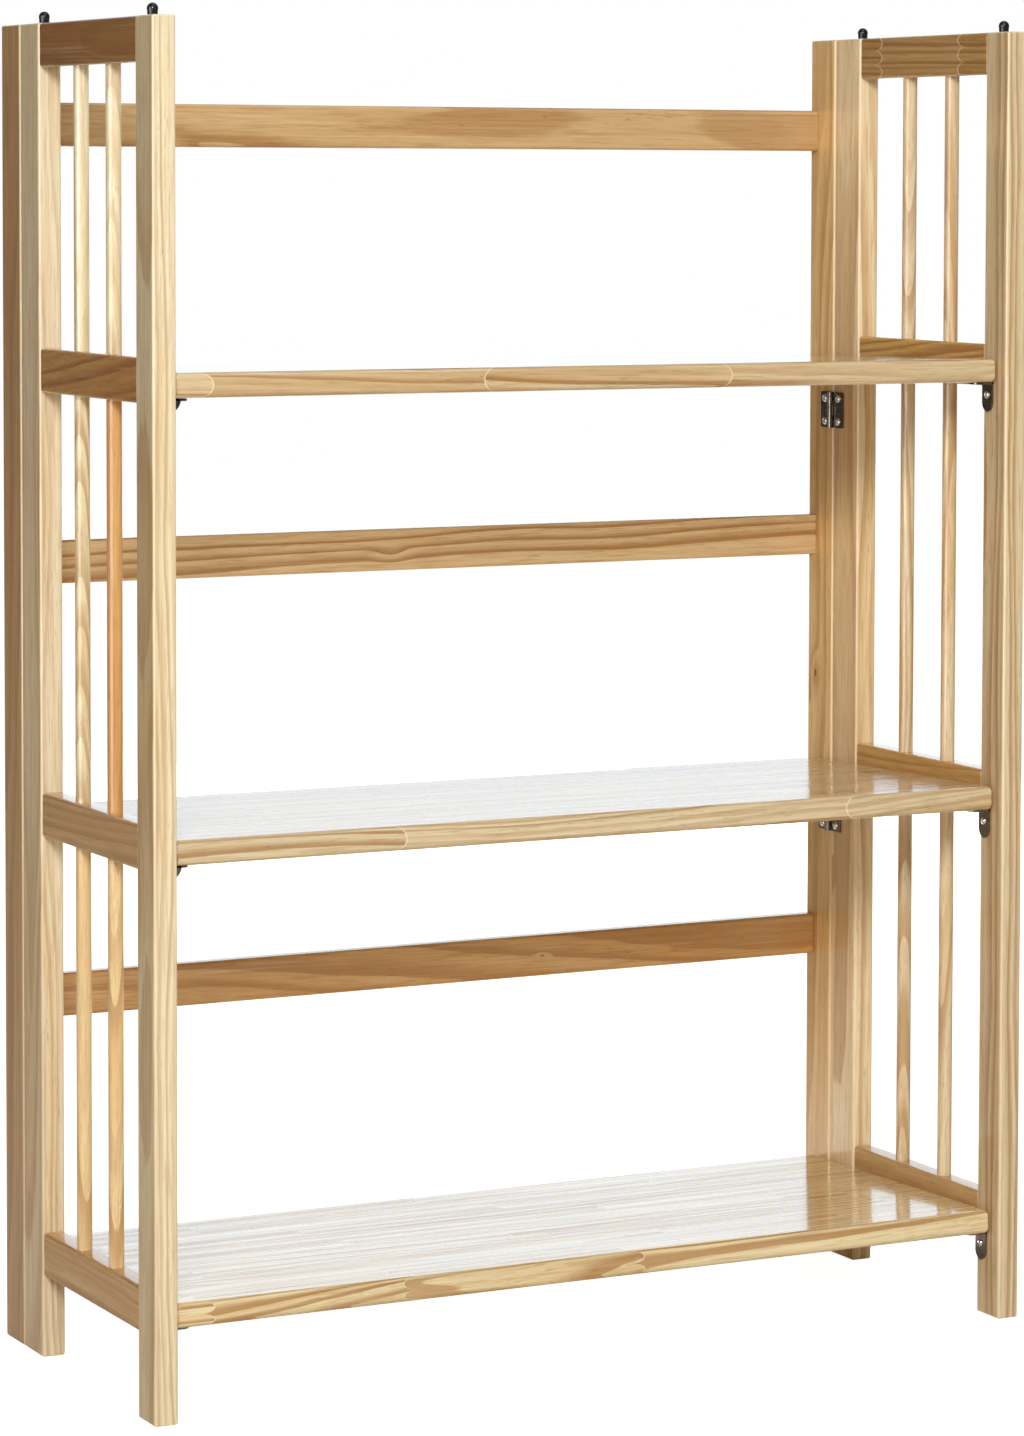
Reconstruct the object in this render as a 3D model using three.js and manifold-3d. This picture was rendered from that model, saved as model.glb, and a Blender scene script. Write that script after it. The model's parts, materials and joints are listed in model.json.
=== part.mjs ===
// Folding bookcase: a back frame, two slatted side frames hinged to it, and three shelves
// that pivot on pins in the back stiles and rest on brackets on the front posts.
// Millimetres, +Z up, front towards -Y, origin at the bottom centre of the open bookcase.

import * as THREE from 'three';
import { mergeVertices } from 'three/addons/utils/BufferGeometryUtils.js';
import Module from 'manifold-3d';

const wasm = await Module();
wasm.setup();

// Overall
const overallWidth = 698.5;
const overallDepth = 292.1;
const postHeight = 965.2;

// Uprights: one stock thickness, three depths
const postThickness = 17.5;
const frontPostDepth = 31.75;
const rearPostDepth = 38.1;
const stileDepth = 38.1;
const postArris = 2.5;
const endEase = 1.5;

// Levels, measured to the top edge of the side rails; the crown is the post top above the last one
const levelNames = ['bottom', 'middle', 'top'];
const lowestRailTop = 91.5;
const crownRise = 232.3;

// Side rails and spindles
const railHeight = 31.75;
const sideRailThickness = 16;
const railArris = 2.5;
const spindleDiameter = 11;
const spindlesPerBay = 2;
const spindleSocketDepth = 9;

// Back rails
const backRailHeight = 32;
const backRailThickness = 13;
const backRailRise = 176.7;

// Tenons
const tenonHeight = 13;
const tenonTopInset = 15;
const sideTenonThickness = 8;
const sideTenonLength = 14;
const backTenonThickness = 6.5;
const backTenonLength = 10;

// Shelves
const shelfThickness = 17.5;
const shelfFrontSetback = 9;
const shelfNoseRadius = 5;
const shelfEndEase = 2.5;
const pivotDrop = 25.5;

// Shelf pivot pins
const pivotPinDiameter = 5;
const pivotPinInShelf = 18;
const pivotPinInStile = 10;

// Shelf brackets on the front posts
const bracketThickness = 1.6;
const bracketWidth = 14;
const bracketPlateHeight = 22;
const bracketLegLength = 16;
const bracketDrop = 28.4;
const bracketRearInset = 0.9;
const bracketScrewDrop = 9.5;
const bracketLegCorner = 5;
const bracketWebDrop = 10;

// Butt hinges between the stiles and the side frames
const hingeHeight = 28.4;
const hingeLeafWidth = 17;
const hingeLeafThickness = 1.5;
const knuckleDiameter = 5;
const knuckleCount = 3;
const hingePinDiameter = 2.4;
const hingeDropBelowRail = 45.4;
const screwFromAxis = 10;
const screwHalfPitch = 9;
const screwHoleDiameter = 3.4;

// Stacking pins in the post tops, and their sockets in the post feet
const stackingPinDiameter = 8;
const stackingPinProud = 8.5;
const stackingPinSunk = 11;
const stackingPinInset = 11;
const stackingSocketDepth = 10;

// Clearances
const shoulderGap = 0.05;
const tenonClearance = 0.3;
const dowelClearance = 0.3;
const pinClearance = 0.3;
const foldGap = 0.5;
const shelfEndClearance = 2.75;
const shelfBackClearance = 0.8;
const shelfSeatGap = 0.12;
const knuckleGap = 0.3;
const metalSeatGap = 0.05;
const cutOverrun = 2;

// Facets
const cornerSegments = 2;
const noseSegments = 6;
const bracketSegments = 4;
const dowelSegments = 16;
const pinSegments = 12;
const domeSegments = 4;
const easeSegments = 1;

// Worked out from the sizes above
const frontY = -overallDepth / 2;
const backY = overallDepth / 2;
const innerX = overallWidth / 2 - postThickness;
const postX = overallWidth / 2 - postThickness / 2;
const stileFrontY = backY - stileDepth;
const sideRearY = stileFrontY - foldGap;
const spanFrontY = frontY + frontPostDepth;
const spanRearY = sideRearY - rearPostDepth;
const spanMidY = (spanFrontY + spanRearY) / 2;
const levelPitch = (postHeight - crownRise - lowestRailTop) / (levelNames.length - 1);
const railTops = levelNames.map((_, level) => lowestRailTop + level * levelPitch);
const sideRailTops = [...railTops, postHeight];
const backRailFrontY = backY - backRailThickness;
const pivotY = backRailFrontY - shelfBackClearance - shelfThickness / 2;
const shelfHalfLength = innerX - shelfEndClearance;
const shelfReach = pivotY - (frontY + shelfFrontSetback);
const bracketRearY = spanFrontY - bracketRearInset;
const bracketMidY = bracketRearY - bracketWidth / 2;
const hingeAxisX = innerX - metalSeatGap - knuckleDiameter / 2;
const hingeAxisY = stileFrontY - foldGap / 2;
const frontPinY = spanFrontY - stackingPinInset;
const rearPinY = spanRearY + stackingPinInset;

// A shelf leans on the rear edge of its brackets, which sets its slight rise to the front.
const seatReach = pivotY - bracketRearY;
const seatFall = bracketDrop - pivotDrop;
const seatDistance = shelfThickness / 2 + shelfSeatGap;
const shelfTilt = Math.asin(seatDistance / Math.hypot(seatReach, seatFall)) - Math.atan2(seatFall, seatReach);

// Which way an extruded outline's own axes point once the piece is placed.
const alongX = new THREE.Matrix4().makeBasis(
  new THREE.Vector3(0, 1, 0), new THREE.Vector3(0, 0, 1), new THREE.Vector3(1, 0, 0));
const alongY = new THREE.Matrix4().makeBasis(
  new THREE.Vector3(0, 0, 1), new THREE.Vector3(1, 0, 0), new THREE.Vector3(0, 1, 0));

// Solids
function roundedRectangle(width, height, radius) {
  const right = width / 2;
  const top = height / 2;
  const shape = new THREE.Shape();
  shape.absarc(right - radius, top - radius, radius, 0, Math.PI / 2);
  shape.absarc(radius - right, top - radius, radius, Math.PI / 2, Math.PI);
  shape.absarc(radius - right, radius - top, radius, Math.PI, 1.5 * Math.PI);
  shape.absarc(right - radius, radius - top, radius, 1.5 * Math.PI, 2 * Math.PI);
  shape.closePath();
  return shape;
}

function easedExtrusion(shape, length, ease, segments) {
  const geometry = new THREE.ExtrudeGeometry(shape, {
    depth: length - 2 * ease,
    curveSegments: segments,
    bevelEnabled: ease > 0,
    bevelThickness: ease,
    bevelSize: ease,
    bevelOffset: -ease,
    bevelSegments: easeSegments,
  });
  return geometry.translate(0, 0, ease);
}

function box(sizeX, sizeY, sizeZ, x, y, z) {
  return new THREE.BoxGeometry(sizeX, sizeY, sizeZ).translate(x, y, z);
}

function rod(diameter, length, segments = pinSegments) {
  return new THREE.CylinderGeometry(diameter / 2, diameter / 2, length, segments);
}

function rodAlongZ(diameter, length, x, y, z, segments = pinSegments) {
  return rod(diameter, length, segments).rotateX(Math.PI / 2).translate(x, y, z);
}

function rodAlongX(diameter, length, x, y, z, segments = pinSegments) {
  return rod(diameter, length, segments).rotateZ(Math.PI / 2).translate(x, y, z);
}

function toSolid(geometry) {
  const bare = geometry.clone();
  bare.deleteAttribute('normal');
  bare.deleteAttribute('uv');
  const merged = mergeVertices(bare);
  return new wasm.Manifold(new wasm.Mesh({
    numProp: 3,
    vertProperties: new Float32Array(merged.attributes.position.array),
    triVerts: new Uint32Array(merged.index.array),
  }));
}

function toGeometry(solid) {
  const mesh = solid.getMesh();
  const geometry = new THREE.BufferGeometry();
  geometry.setAttribute('position', new THREE.BufferAttribute(mesh.vertProperties, 3));
  geometry.setIndex(new THREE.BufferAttribute(mesh.triVerts, 1));
  geometry.computeVertexNormals();
  return geometry;
}

function combine(base, added, removed) {
  let solid = toSolid(base);
  for (const geometry of added) {
    solid = solid.add(toSolid(geometry));
  }
  for (const geometry of removed) {
    solid = solid.subtract(toSolid(geometry));
  }
  return toGeometry(solid);
}

// Materials
const woods = {
  pale: 0xeccf99,
  straw: 0xe3c083,
  honey: 0xd2a465,
  amber: 0xc08a4a,
};

function wood(tone) {
  return new THREE.MeshStandardMaterial({ color: woods[tone], roughness: 0.35, metalness: 0 });
}

function steel() {
  return new THREE.MeshStandardMaterial({ color: 0x8f8c88, roughness: 0.22, metalness: 1 });
}

function blackPlastic() {
  return new THREE.MeshStandardMaterial({ color: 0x151515, roughness: 0.25, metalness: 0 });
}

function piece(name, geometry, material, x, y, z) {
  const mesh = new THREE.Mesh(geometry, material);
  mesh.name = name;
  mesh.position.set(x, y, z);
  return mesh;
}

// Posts and stiles stand on their own foot; y is measured from the middle of their depth.
function upright(depthOfPost) {
  const outline = roundedRectangle(postThickness, depthOfPost, postArris);
  return easedExtrusion(outline, postHeight, endEase, cornerSegments);
}

function tenonZ(railTop) {
  return railTop - tenonTopInset - tenonHeight / 2;
}

// One mortise per side rail, cut into the face that the rails meet.
function sideMortises(faceY, inward) {
  const mortiseDepth = sideTenonLength + tenonClearance;
  return sideRailTops.map((railTop) => box(
    sideTenonThickness + 2 * tenonClearance,
    mortiseDepth + cutOverrun,
    tenonHeight + 2 * tenonClearance,
    0,
    faceY + inward * (mortiseDepth - cutOverrun) / 2,
    tenonZ(railTop)));
}

function stackingHoles(pinY) {
  const diameter = stackingPinDiameter + 2 * pinClearance;
  const topDepth = stackingPinSunk + pinClearance;
  return [
    rodAlongZ(diameter, topDepth + cutOverrun, 0, pinY, postHeight - (topDepth - cutOverrun) / 2),
    rodAlongZ(diameter, stackingSocketDepth + cutOverrun, 0, pinY, (stackingSocketDepth - cutOverrun) / 2),
  ];
}

function frontPost() {
  const midY = frontY + frontPostDepth / 2;
  const cuts = [...sideMortises(spanFrontY - midY, -1), ...stackingHoles(frontPinY - midY)];
  return combine(upright(frontPostDepth), [], cuts);
}

function rearPost() {
  const midY = spanRearY + rearPostDepth / 2;
  const cuts = [...sideMortises(spanRearY - midY, 1), ...stackingHoles(rearPinY - midY)];
  return combine(upright(rearPostDepth), [], cuts);
}

function pivotHeight(level) {
  return railTops[level] - pivotDrop;
}

function backRailTop(level) {
  return railTops[level] + backRailRise;
}

// side is -1 for the left stile and 1 for the right one.
function stile(side) {
  const midY = backY - stileDepth / 2;
  const mortiseDepth = backTenonLength + tenonClearance;
  const pivotDepth = pivotPinInStile + pinClearance;
  const cuts = [];
  levelNames.forEach((_, level) => {
    cuts.push(box(
      mortiseDepth + cutOverrun,
      backTenonThickness + 2 * tenonClearance,
      tenonHeight + 2 * tenonClearance,
      side * (mortiseDepth - cutOverrun - postThickness) / 2,
      backY - backRailThickness / 2 - midY,
      tenonZ(backRailTop(level))));
    cuts.push(rodAlongX(
      pivotPinDiameter + 2 * pinClearance,
      pivotDepth + cutOverrun,
      side * (pivotDepth - cutOverrun - postThickness) / 2,
      pivotY - midY,
      pivotHeight(level)));
  });
  return combine(upright(stileDepth), [], cuts);
}

function sideRail(hasSocketsAbove, hasSocketsBelow) {
  const length = spanRearY - spanFrontY - 2 * shoulderGap;
  const outline = roundedRectangle(railHeight, sideRailThickness, railArris);
  const bar = easedExtrusion(outline, length, 0, cornerSegments)
    .applyMatrix4(alongY)
    .translate(0, -length / 2, -railHeight / 2);
  const tenon = box(
    sideTenonThickness,
    length + 2 * (sideTenonLength + shoulderGap),
    tenonHeight,
    0,
    0,
    tenonZ(0));
  const socketDiameter = spindleDiameter + 2 * dowelClearance;
  const socketLength = spindleSocketDepth + cutOverrun;
  const sockets = [];
  const upperZ = (cutOverrun - spindleSocketDepth) / 2;
  const lowerZ = -railHeight - upperZ;
  for (let index = 0; index < spindlesPerBay; index += 1) {
    const y = spindleY(index) - spanMidY;
    if (hasSocketsAbove) {
      sockets.push(rodAlongZ(socketDiameter, socketLength, 0, y, upperZ, dowelSegments));
    }
    if (hasSocketsBelow) {
      sockets.push(rodAlongZ(socketDiameter, socketLength, 0, y, lowerZ, dowelSegments));
    }
  }
  return combine(bar, [tenon], sockets);
}

function spindleY(index) {
  const pitch = (spanRearY - spanFrontY) / (spindlesPerBay + 1);
  return spanFrontY + (index + 1) * pitch;
}

function spindle(bayBottom, bayTop) {
  const length = bayTop - bayBottom + 2 * (spindleSocketDepth - dowelClearance);
  return rod(spindleDiameter, length, dowelSegments).rotateX(Math.PI / 2);
}

function backRail() {
  const length = 2 * (innerX - shoulderGap);
  const outline = roundedRectangle(backRailThickness, backRailHeight, railArris);
  const bar = easedExtrusion(outline, length, 0, cornerSegments)
    .applyMatrix4(alongX)
    .translate(-length / 2, 0, -backRailHeight / 2);
  const tenon = box(
    length + 2 * (backTenonLength + shoulderGap), backTenonThickness, tenonHeight, 0, 0, tenonZ(0));
  return combine(bar, [tenon], []);
}

// The shelf's outline runs from the round rear edge, centred on the pivot, to the eased front.
function shelf() {
  const half = shelfThickness / 2;
  const nose = shelfNoseRadius;
  const outline = new THREE.Shape();
  outline.absarc(0, 0, half, -Math.PI / 2, Math.PI / 2);
  outline.absarc(nose - shelfReach, half - nose, nose, Math.PI / 2, Math.PI);
  outline.absarc(nose - shelfReach, nose - half, nose, Math.PI, 1.5 * Math.PI);
  outline.closePath();
  const board = easedExtrusion(outline, 2 * shelfHalfLength, shelfEndEase, noseSegments)
    .applyMatrix4(alongX)
    .translate(-shelfHalfLength, 0, 0);
  const boreDepth = pivotPinInShelf + pinClearance;
  const bores = [-1, 1].map((side) => rodAlongX(
    pivotPinDiameter + 2 * pinClearance,
    boreDepth + cutOverrun,
    side * (shelfHalfLength - (boreDepth - cutOverrun) / 2),
    0,
    0));
  return combine(board, [], bores);
}

function pivotPin() {
  return rod(pivotPinDiameter, pivotPinInShelf + shelfEndClearance + pivotPinInStile).rotateZ(Math.PI / 2);
}

// A bracket for the right post: the plate on the post at x = 0, the leg reaching to -x,
// the top of the leg at z = 0. A webbed bracket has a rounded web under one edge of its leg.
function bracket(webbed) {
  const half = bracketWidth / 2;
  const corner = bracketLegCorner;
  const plateOutline = new THREE.Shape();
  plateOutline.moveTo(half, 0);
  plateOutline.lineTo(-half, 0);
  plateOutline.absarc(0, half - bracketPlateHeight, half, Math.PI, 2 * Math.PI);
  plateOutline.closePath();
  const plate = easedExtrusion(plateOutline, bracketThickness, 0, bracketSegments)
    .applyMatrix4(alongX)
    .translate(-bracketThickness, 0, 0);

  const legOutline = new THREE.Shape();
  legOutline.moveTo(0, -half);
  legOutline.lineTo(0, half);
  legOutline.absarc(corner - bracketLegLength, half - corner, corner, Math.PI / 2, Math.PI);
  legOutline.absarc(corner - bracketLegLength, corner - half, corner, Math.PI, 1.5 * Math.PI);
  legOutline.closePath();
  const leg = easedExtrusion(legOutline, bracketThickness, 0, bracketSegments)
    .translate(0, 0, -bracketThickness);

  const added = [leg];
  if (webbed) {
    const webOutline = new THREE.Shape();
    webOutline.moveTo(0, 0);
    webOutline.absellipse(0, 0, bracketLegLength, bracketWebDrop, Math.PI, 1.5 * Math.PI);
    webOutline.closePath();
    added.push(easedExtrusion(webOutline, bracketThickness, 0, bracketSegments)
      .rotateX(Math.PI / 2)
      .translate(0, half, 0));
  }
  const hole = rodAlongX(
    screwHoleDiameter, bracketThickness + 2 * cutOverrun, -bracketThickness / 2, 0, -bracketScrewDrop);
  return combine(plate, added, [hole]);
}

// A hinge leaf for the right side, about the pin axis: the wood lies at +x.
// reach is 1 for the leaf on the stile and -1 for the leaf on the rear post.
function hingeLeaf(reach) {
  const knuckleLength = hingeHeight / knuckleCount;
  const mountX = knuckleDiameter / 2;
  const plateWidth = hingeLeafWidth - foldGap / 2;
  const ownsKnuckle = (index) => (index % 2 === 0) === (reach > 0);
  const plate = box(
    hingeLeafThickness,
    plateWidth,
    hingeHeight,
    mountX - hingeLeafThickness / 2,
    reach * (hingeLeafWidth - plateWidth / 2),
    0);
  const added = [];
  const removed = [];
  for (let index = 0; index < knuckleCount; index += 1) {
    const z = (index + 0.5) * knuckleLength - hingeHeight / 2;
    if (ownsKnuckle(index)) {
      added.push(rodAlongZ(knuckleDiameter, knuckleLength - knuckleGap, 0, 0, z));
    } else {
      const room = knuckleDiameter + 2 * knuckleGap;
      removed.push(box(room, room, knuckleLength + knuckleGap, 0, 0, z));
    }
  }
  for (const side of [-1, 1]) {
    removed.push(rodAlongX(
      screwHoleDiameter,
      hingeLeafThickness + 2 * cutOverrun,
      mountX - hingeLeafThickness / 2,
      reach * screwFromAxis,
      side * screwHalfPitch));
  }
  let leaf = toSolid(combine(plate, added, removed));
  const pinLength = hingeHeight + (reach > 0 ? 0 : 2 * cutOverrun);
  const pinDiameter = hingePinDiameter + (reach > 0 ? 0 : 2 * pinClearance);
  const pin = toSolid(rodAlongZ(pinDiameter, pinLength, 0, 0, 0));
  leaf = reach > 0 ? leaf.add(pin) : leaf.subtract(pin);
  return toGeometry(leaf);
}

function stackingPin() {
  const radius = stackingPinDiameter / 2;
  const profile = [
    new THREE.Vector2(0, -stackingPinSunk),
    new THREE.Vector2(radius, -stackingPinSunk),
  ];
  for (let step = 0; step < domeSegments; step += 1) {
    const angle = (step / domeSegments) * (Math.PI / 2);
    profile.push(new THREE.Vector2(
      radius * Math.cos(angle), stackingPinProud - radius + radius * Math.sin(angle)));
  }
  profile.push(new THREE.Vector2(0, stackingPinProud));
  return new THREE.LatheGeometry(profile, pinSegments).rotateX(Math.PI / 2);
}

// Back frame: stiles, rails, pivot pins and the fixed leaves of the hinges
function backFrame() {
  const group = new THREE.Group();
  const stileMidY = backY - stileDepth / 2;
  const sides = [['left', -1], ['right', 1]];
  for (const [sideName, side] of sides) {
    group.add(piece(`${sideName}_stile`, stile(side), wood('honey'), side * postX, stileMidY, 0));
  }
  levelNames.forEach((levelName, level) => {
    const railY = backY - backRailThickness / 2;
    group.add(piece(`back_rail_${levelName}`, backRail(), wood('straw'), 0, railY, backRailTop(level)));
    for (const [sideName, side] of sides) {
      const pinLength = pivotPinInShelf + shelfEndClearance + pivotPinInStile;
      const pinX = innerX + pivotPinInStile - pinLength / 2;
      group.add(piece(
        `${sideName}_pivot_pin_${levelName}`, pivotPin(), steel(), side * pinX, pivotY, pivotHeight(level)));
      group.add(hingePiece(`${sideName}_hinge_stile_leaf_${levelName}`, side, level, 1));
    }
  });
  return group;
}

function hingePiece(name, side, level, reach) {
  const middle = railTops[level] - hingeDropBelowRail - hingeHeight / 2;
  const mesh = piece(name, hingeLeaf(reach), steel(), side * hingeAxisX, hingeAxisY, middle);
  mesh.rotation.y = side > 0 ? 0 : Math.PI;
  return mesh;
}

// A side frame: two posts, four rails, the spindles of three bays and its hardware
const spindleTones = {
  left: ['straw', 'honey', 'amber', 'honey', 'straw', 'straw'],
  right: ['straw', 'straw', 'straw', 'straw', 'straw', 'straw'],
};

function sideFrame(sideName, side) {
  const group = new THREE.Group();
  const x = side * postX;
  const frontPostY = frontY + frontPostDepth / 2;
  const rearPostY = spanRearY + rearPostDepth / 2;
  group.add(piece(`${sideName}_front_post`, frontPost(), wood('pale'), x, frontPostY, 0));
  group.add(piece(`${sideName}_rear_post`, rearPost(), wood('honey'), x, rearPostY, 0));
  group.add(piece(`${sideName}_front_stacking_pin`, stackingPin(), blackPlastic(), x, frontPinY, postHeight));
  group.add(piece(`${sideName}_rear_stacking_pin`, stackingPin(), blackPlastic(), x, rearPinY, postHeight));

  sideRailTops.forEach((railTop, index) => {
    const name = `${sideName}_side_rail_${[...levelNames, 'crown'][index]}`;
    const rail = sideRail(index < levelNames.length, index > 0);
    group.add(piece(name, rail, wood('honey'), x, spanMidY, railTop));
  });

  levelNames.forEach((levelName, level) => {
    const bayBottom = railTops[level];
    const bayTop = sideRailTops[level + 1] - railHeight;
    for (let index = 0; index < spindlesPerBay; index += 1) {
      const tones = spindleTones[sideName];
      const tone = tones[(level * spindlesPerBay + index) % tones.length];
      const name = `${sideName}_spindle_${levelName}_${index + 1}`;
      const midZ = (bayBottom + bayTop) / 2;
      group.add(piece(name, spindle(bayBottom, bayTop), wood(tone), x, spindleY(index), midZ));
    }
    const webbed = side < 0 && level > 0;
    const shelfBracket = piece(
      `${sideName}_shelf_bracket_${levelName}`,
      bracket(webbed),
      steel(),
      side * (innerX - metalSeatGap),
      bracketMidY,
      railTops[level] - bracketDrop);
    shelfBracket.rotation.z = side > 0 ? 0 : Math.PI;
    group.add(shelfBracket);
    group.add(hingePiece(`${sideName}_hinge_post_leaf_${levelName}`, side, level, -1));
  });
  return group;
}

// Each shelf turns about its own pivot; at rest it leans on its brackets.
function shelfAt(levelName, level) {
  const group = new THREE.Group();
  group.position.set(0, pivotY, pivotHeight(level));
  group.rotation.x = -shelfTilt;
  group.add(piece(`shelf_${levelName}`, shelf(), wood('straw'), 0, 0, 0));
  return group;
}

const bookcase = new THREE.Group();
bookcase.add(backFrame());
bookcase.add(sideFrame('left', -1));
bookcase.add(sideFrame('right', 1));
levelNames.forEach((levelName, level) => bookcase.add(shelfAt(levelName, level)));

export default bookcase;
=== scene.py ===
import json
import math
import random
import zlib

import bmesh
import bpy
import numpy as np
from bpy.props import FloatProperty, FloatVectorProperty, IntProperty, PointerProperty
from mathutils import Matrix, Vector


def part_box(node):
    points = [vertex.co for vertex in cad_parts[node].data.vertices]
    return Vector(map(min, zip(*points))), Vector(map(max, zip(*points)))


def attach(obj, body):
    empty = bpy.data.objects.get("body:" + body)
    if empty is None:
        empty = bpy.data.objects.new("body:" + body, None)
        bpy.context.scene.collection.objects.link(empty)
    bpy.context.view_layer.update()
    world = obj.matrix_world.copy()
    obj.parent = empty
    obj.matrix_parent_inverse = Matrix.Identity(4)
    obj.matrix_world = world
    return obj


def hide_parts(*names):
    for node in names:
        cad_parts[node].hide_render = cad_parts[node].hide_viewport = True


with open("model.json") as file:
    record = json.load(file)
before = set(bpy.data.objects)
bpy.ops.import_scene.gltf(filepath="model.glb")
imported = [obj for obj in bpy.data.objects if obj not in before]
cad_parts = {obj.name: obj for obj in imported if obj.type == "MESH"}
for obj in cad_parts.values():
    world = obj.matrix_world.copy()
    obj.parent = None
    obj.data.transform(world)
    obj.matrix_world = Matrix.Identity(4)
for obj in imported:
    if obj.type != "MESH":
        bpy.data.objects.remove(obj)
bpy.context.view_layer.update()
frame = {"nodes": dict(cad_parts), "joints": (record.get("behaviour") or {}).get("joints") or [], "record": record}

# Folding bookcase in varnished pine, built round its fixed frame.
# Metres, Z up, front towards -Y. A board is drawn along u, with v and w across it.

bl_info = {
    "name": "Folding Bookcase",
    "version": (1, 0, 0),
    "blender": (4, 5, 0),
    "location": "View3D > Sidebar > Bookcase",
    "description": "Builds a folding pine bookcase piece by piece round its frame",
    "category": "Object",
}

MM = 0.001
LEVELS = ("bottom", "middle", "top")
SIDES = (("left", -1), ("right", 1))
SIDE_LEVELS = [(side, sign, level) for side, sign in SIDES for level in LEVELS]
AXIS_X, AXIS_Y, AXIS_Z = Vector((1, 0, 0)), Vector((0, 1, 0)), Vector((0, 0, 1))

# Metres, past the end of any board: the place of a joint or the width of a stave that it hasn't
FAR = 9.0

# Radius of a hinge knuckle and thickness of the sheet that hinges and brackets are made of
KNUCKLE_RADIUS, LEAF_THICKNESS, BRACKET_THICKNESS = 2.5 * MM, 1.5 * MM, 1.6 * MM

record = frame["record"]
body_of_node = {
    node: body for body, nodes in record["behaviour"]["bodies"].items() for node in nodes
}
joint_place = {joint["name"]: Vector(joint["pos_m"]) for joint in frame["joints"]}


def number(name, description, default, subtype="NONE"):
    return FloatProperty(name=name, description=description, default=default, subtype=subtype)


def length(name, description, default):
    return FloatProperty(
        name=name, description=description, default=default, unit="LENGTH",
        subtype="DISTANCE", precision=5)


def colour(name, description, default):
    return FloatVectorProperty(
        name=name, description=description, default=default, size=3, subtype="COLOR",
        min=0, max=1)


class PineSettings(bpy.types.PropertyGroup):
    """Colours and figure of the varnished pine."""

    pale: colour("Pale pine", "Early wood of posts and spindles", (0.93, 0.78, 0.52))
    straw: colour("Straw pine", "Early wood of shelves and back rails", (0.76, 0.52, 0.255))
    honey: colour("Honey pine", "Early wood of stiles and side rails", (0.80, 0.56, 0.27))
    amber: colour("Amber pine", "Early wood of the reddest spindle", (0.80, 0.44, 0.17))
    late_share: colour("Late wood", "Late wood as a share of the early wood", (0.58, 0.39, 0.235))
    wander: length("Wander", "How far the rings wander along a board", 20 * MM)
    stave_width: length("Stave width", "Width of the staves glued up into a shelf", 24 * MM)
    finger_length: length("Finger length", "Length of the fingers of an end joint", 11 * MM)
    arris: length("Arris radius", "Rounding of the long edges of posts and rails", 2.5 * MM)
    post_end_ease: length("Post end ease", "Rounding of the post ends", 1.5 * MM)
    rail_end_ease: length("Rail end ease", "Rounding of the rail ends", 1.1 * MM)
    nose: length("Shelf nose", "Rounding of the shelf's front edges", 5 * MM)
    shelf_end_ease: length("Shelf end ease", "Rounding of the shelf's ends", 2.5 * MM)
    edge_steps: IntProperty(
        name="Edge steps", description="Facets in a rounded edge", default=5, min=2, max=12)


class HardwareSettings(bpy.types.PropertyGroup):
    """Sizes and colours of hinges, brackets, pins and screws."""

    nickel: colour("Nickel", "Plated steel of hinges and brackets", (0.25, 0.22, 0.195))
    screw_steel: colour("Screw steel", "Brighter steel of the screw heads", (0.78, 0.76, 0.73))
    plastic: colour("Black plastic", "Moulded plastic of the stacking pins", (0.012, 0.012, 0.014))
    plate_ease: length("Plate ease", "Rounding of the sheet metal edges", 0.25 * MM)
    hinge_screw: length("Hinge screw head", "Head diameter of the hinge screws", 6.2 * MM)
    bracket_screw: length("Bracket screw head", "Head diameter of the bracket screws", 5.8 * MM)
    screw_rise: length("Screw head height", "Height of the pan heads", 1.5 * MM)
    recess_width: length("Recess width", "Width of a cross recess arm", 1.1 * MM)
    recess_depth: length("Recess depth", "Depth of the cross recess", 1.0 * MM)
    hinge_screw_reach: length("Hinge screw reach", "Hinge axis to screw", 10 * MM)
    hinge_screw_rise: length("Hinge screw rise", "Hinge middle to screw", 9 * MM)
    bracket_screw_drop: length("Bracket screw drop", "Bracket top to its screw", 9.5 * MM)
    brad: length("Brad", "Diameter of the brads that hold the spindles", 1.5 * MM)
    brad_inset: length("Brad inset", "Rail edge to brad", 7 * MM)
    brad_shift: length("Brad shift", "Spindle middle to brad, towards the rear", 4 * MM)


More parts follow.
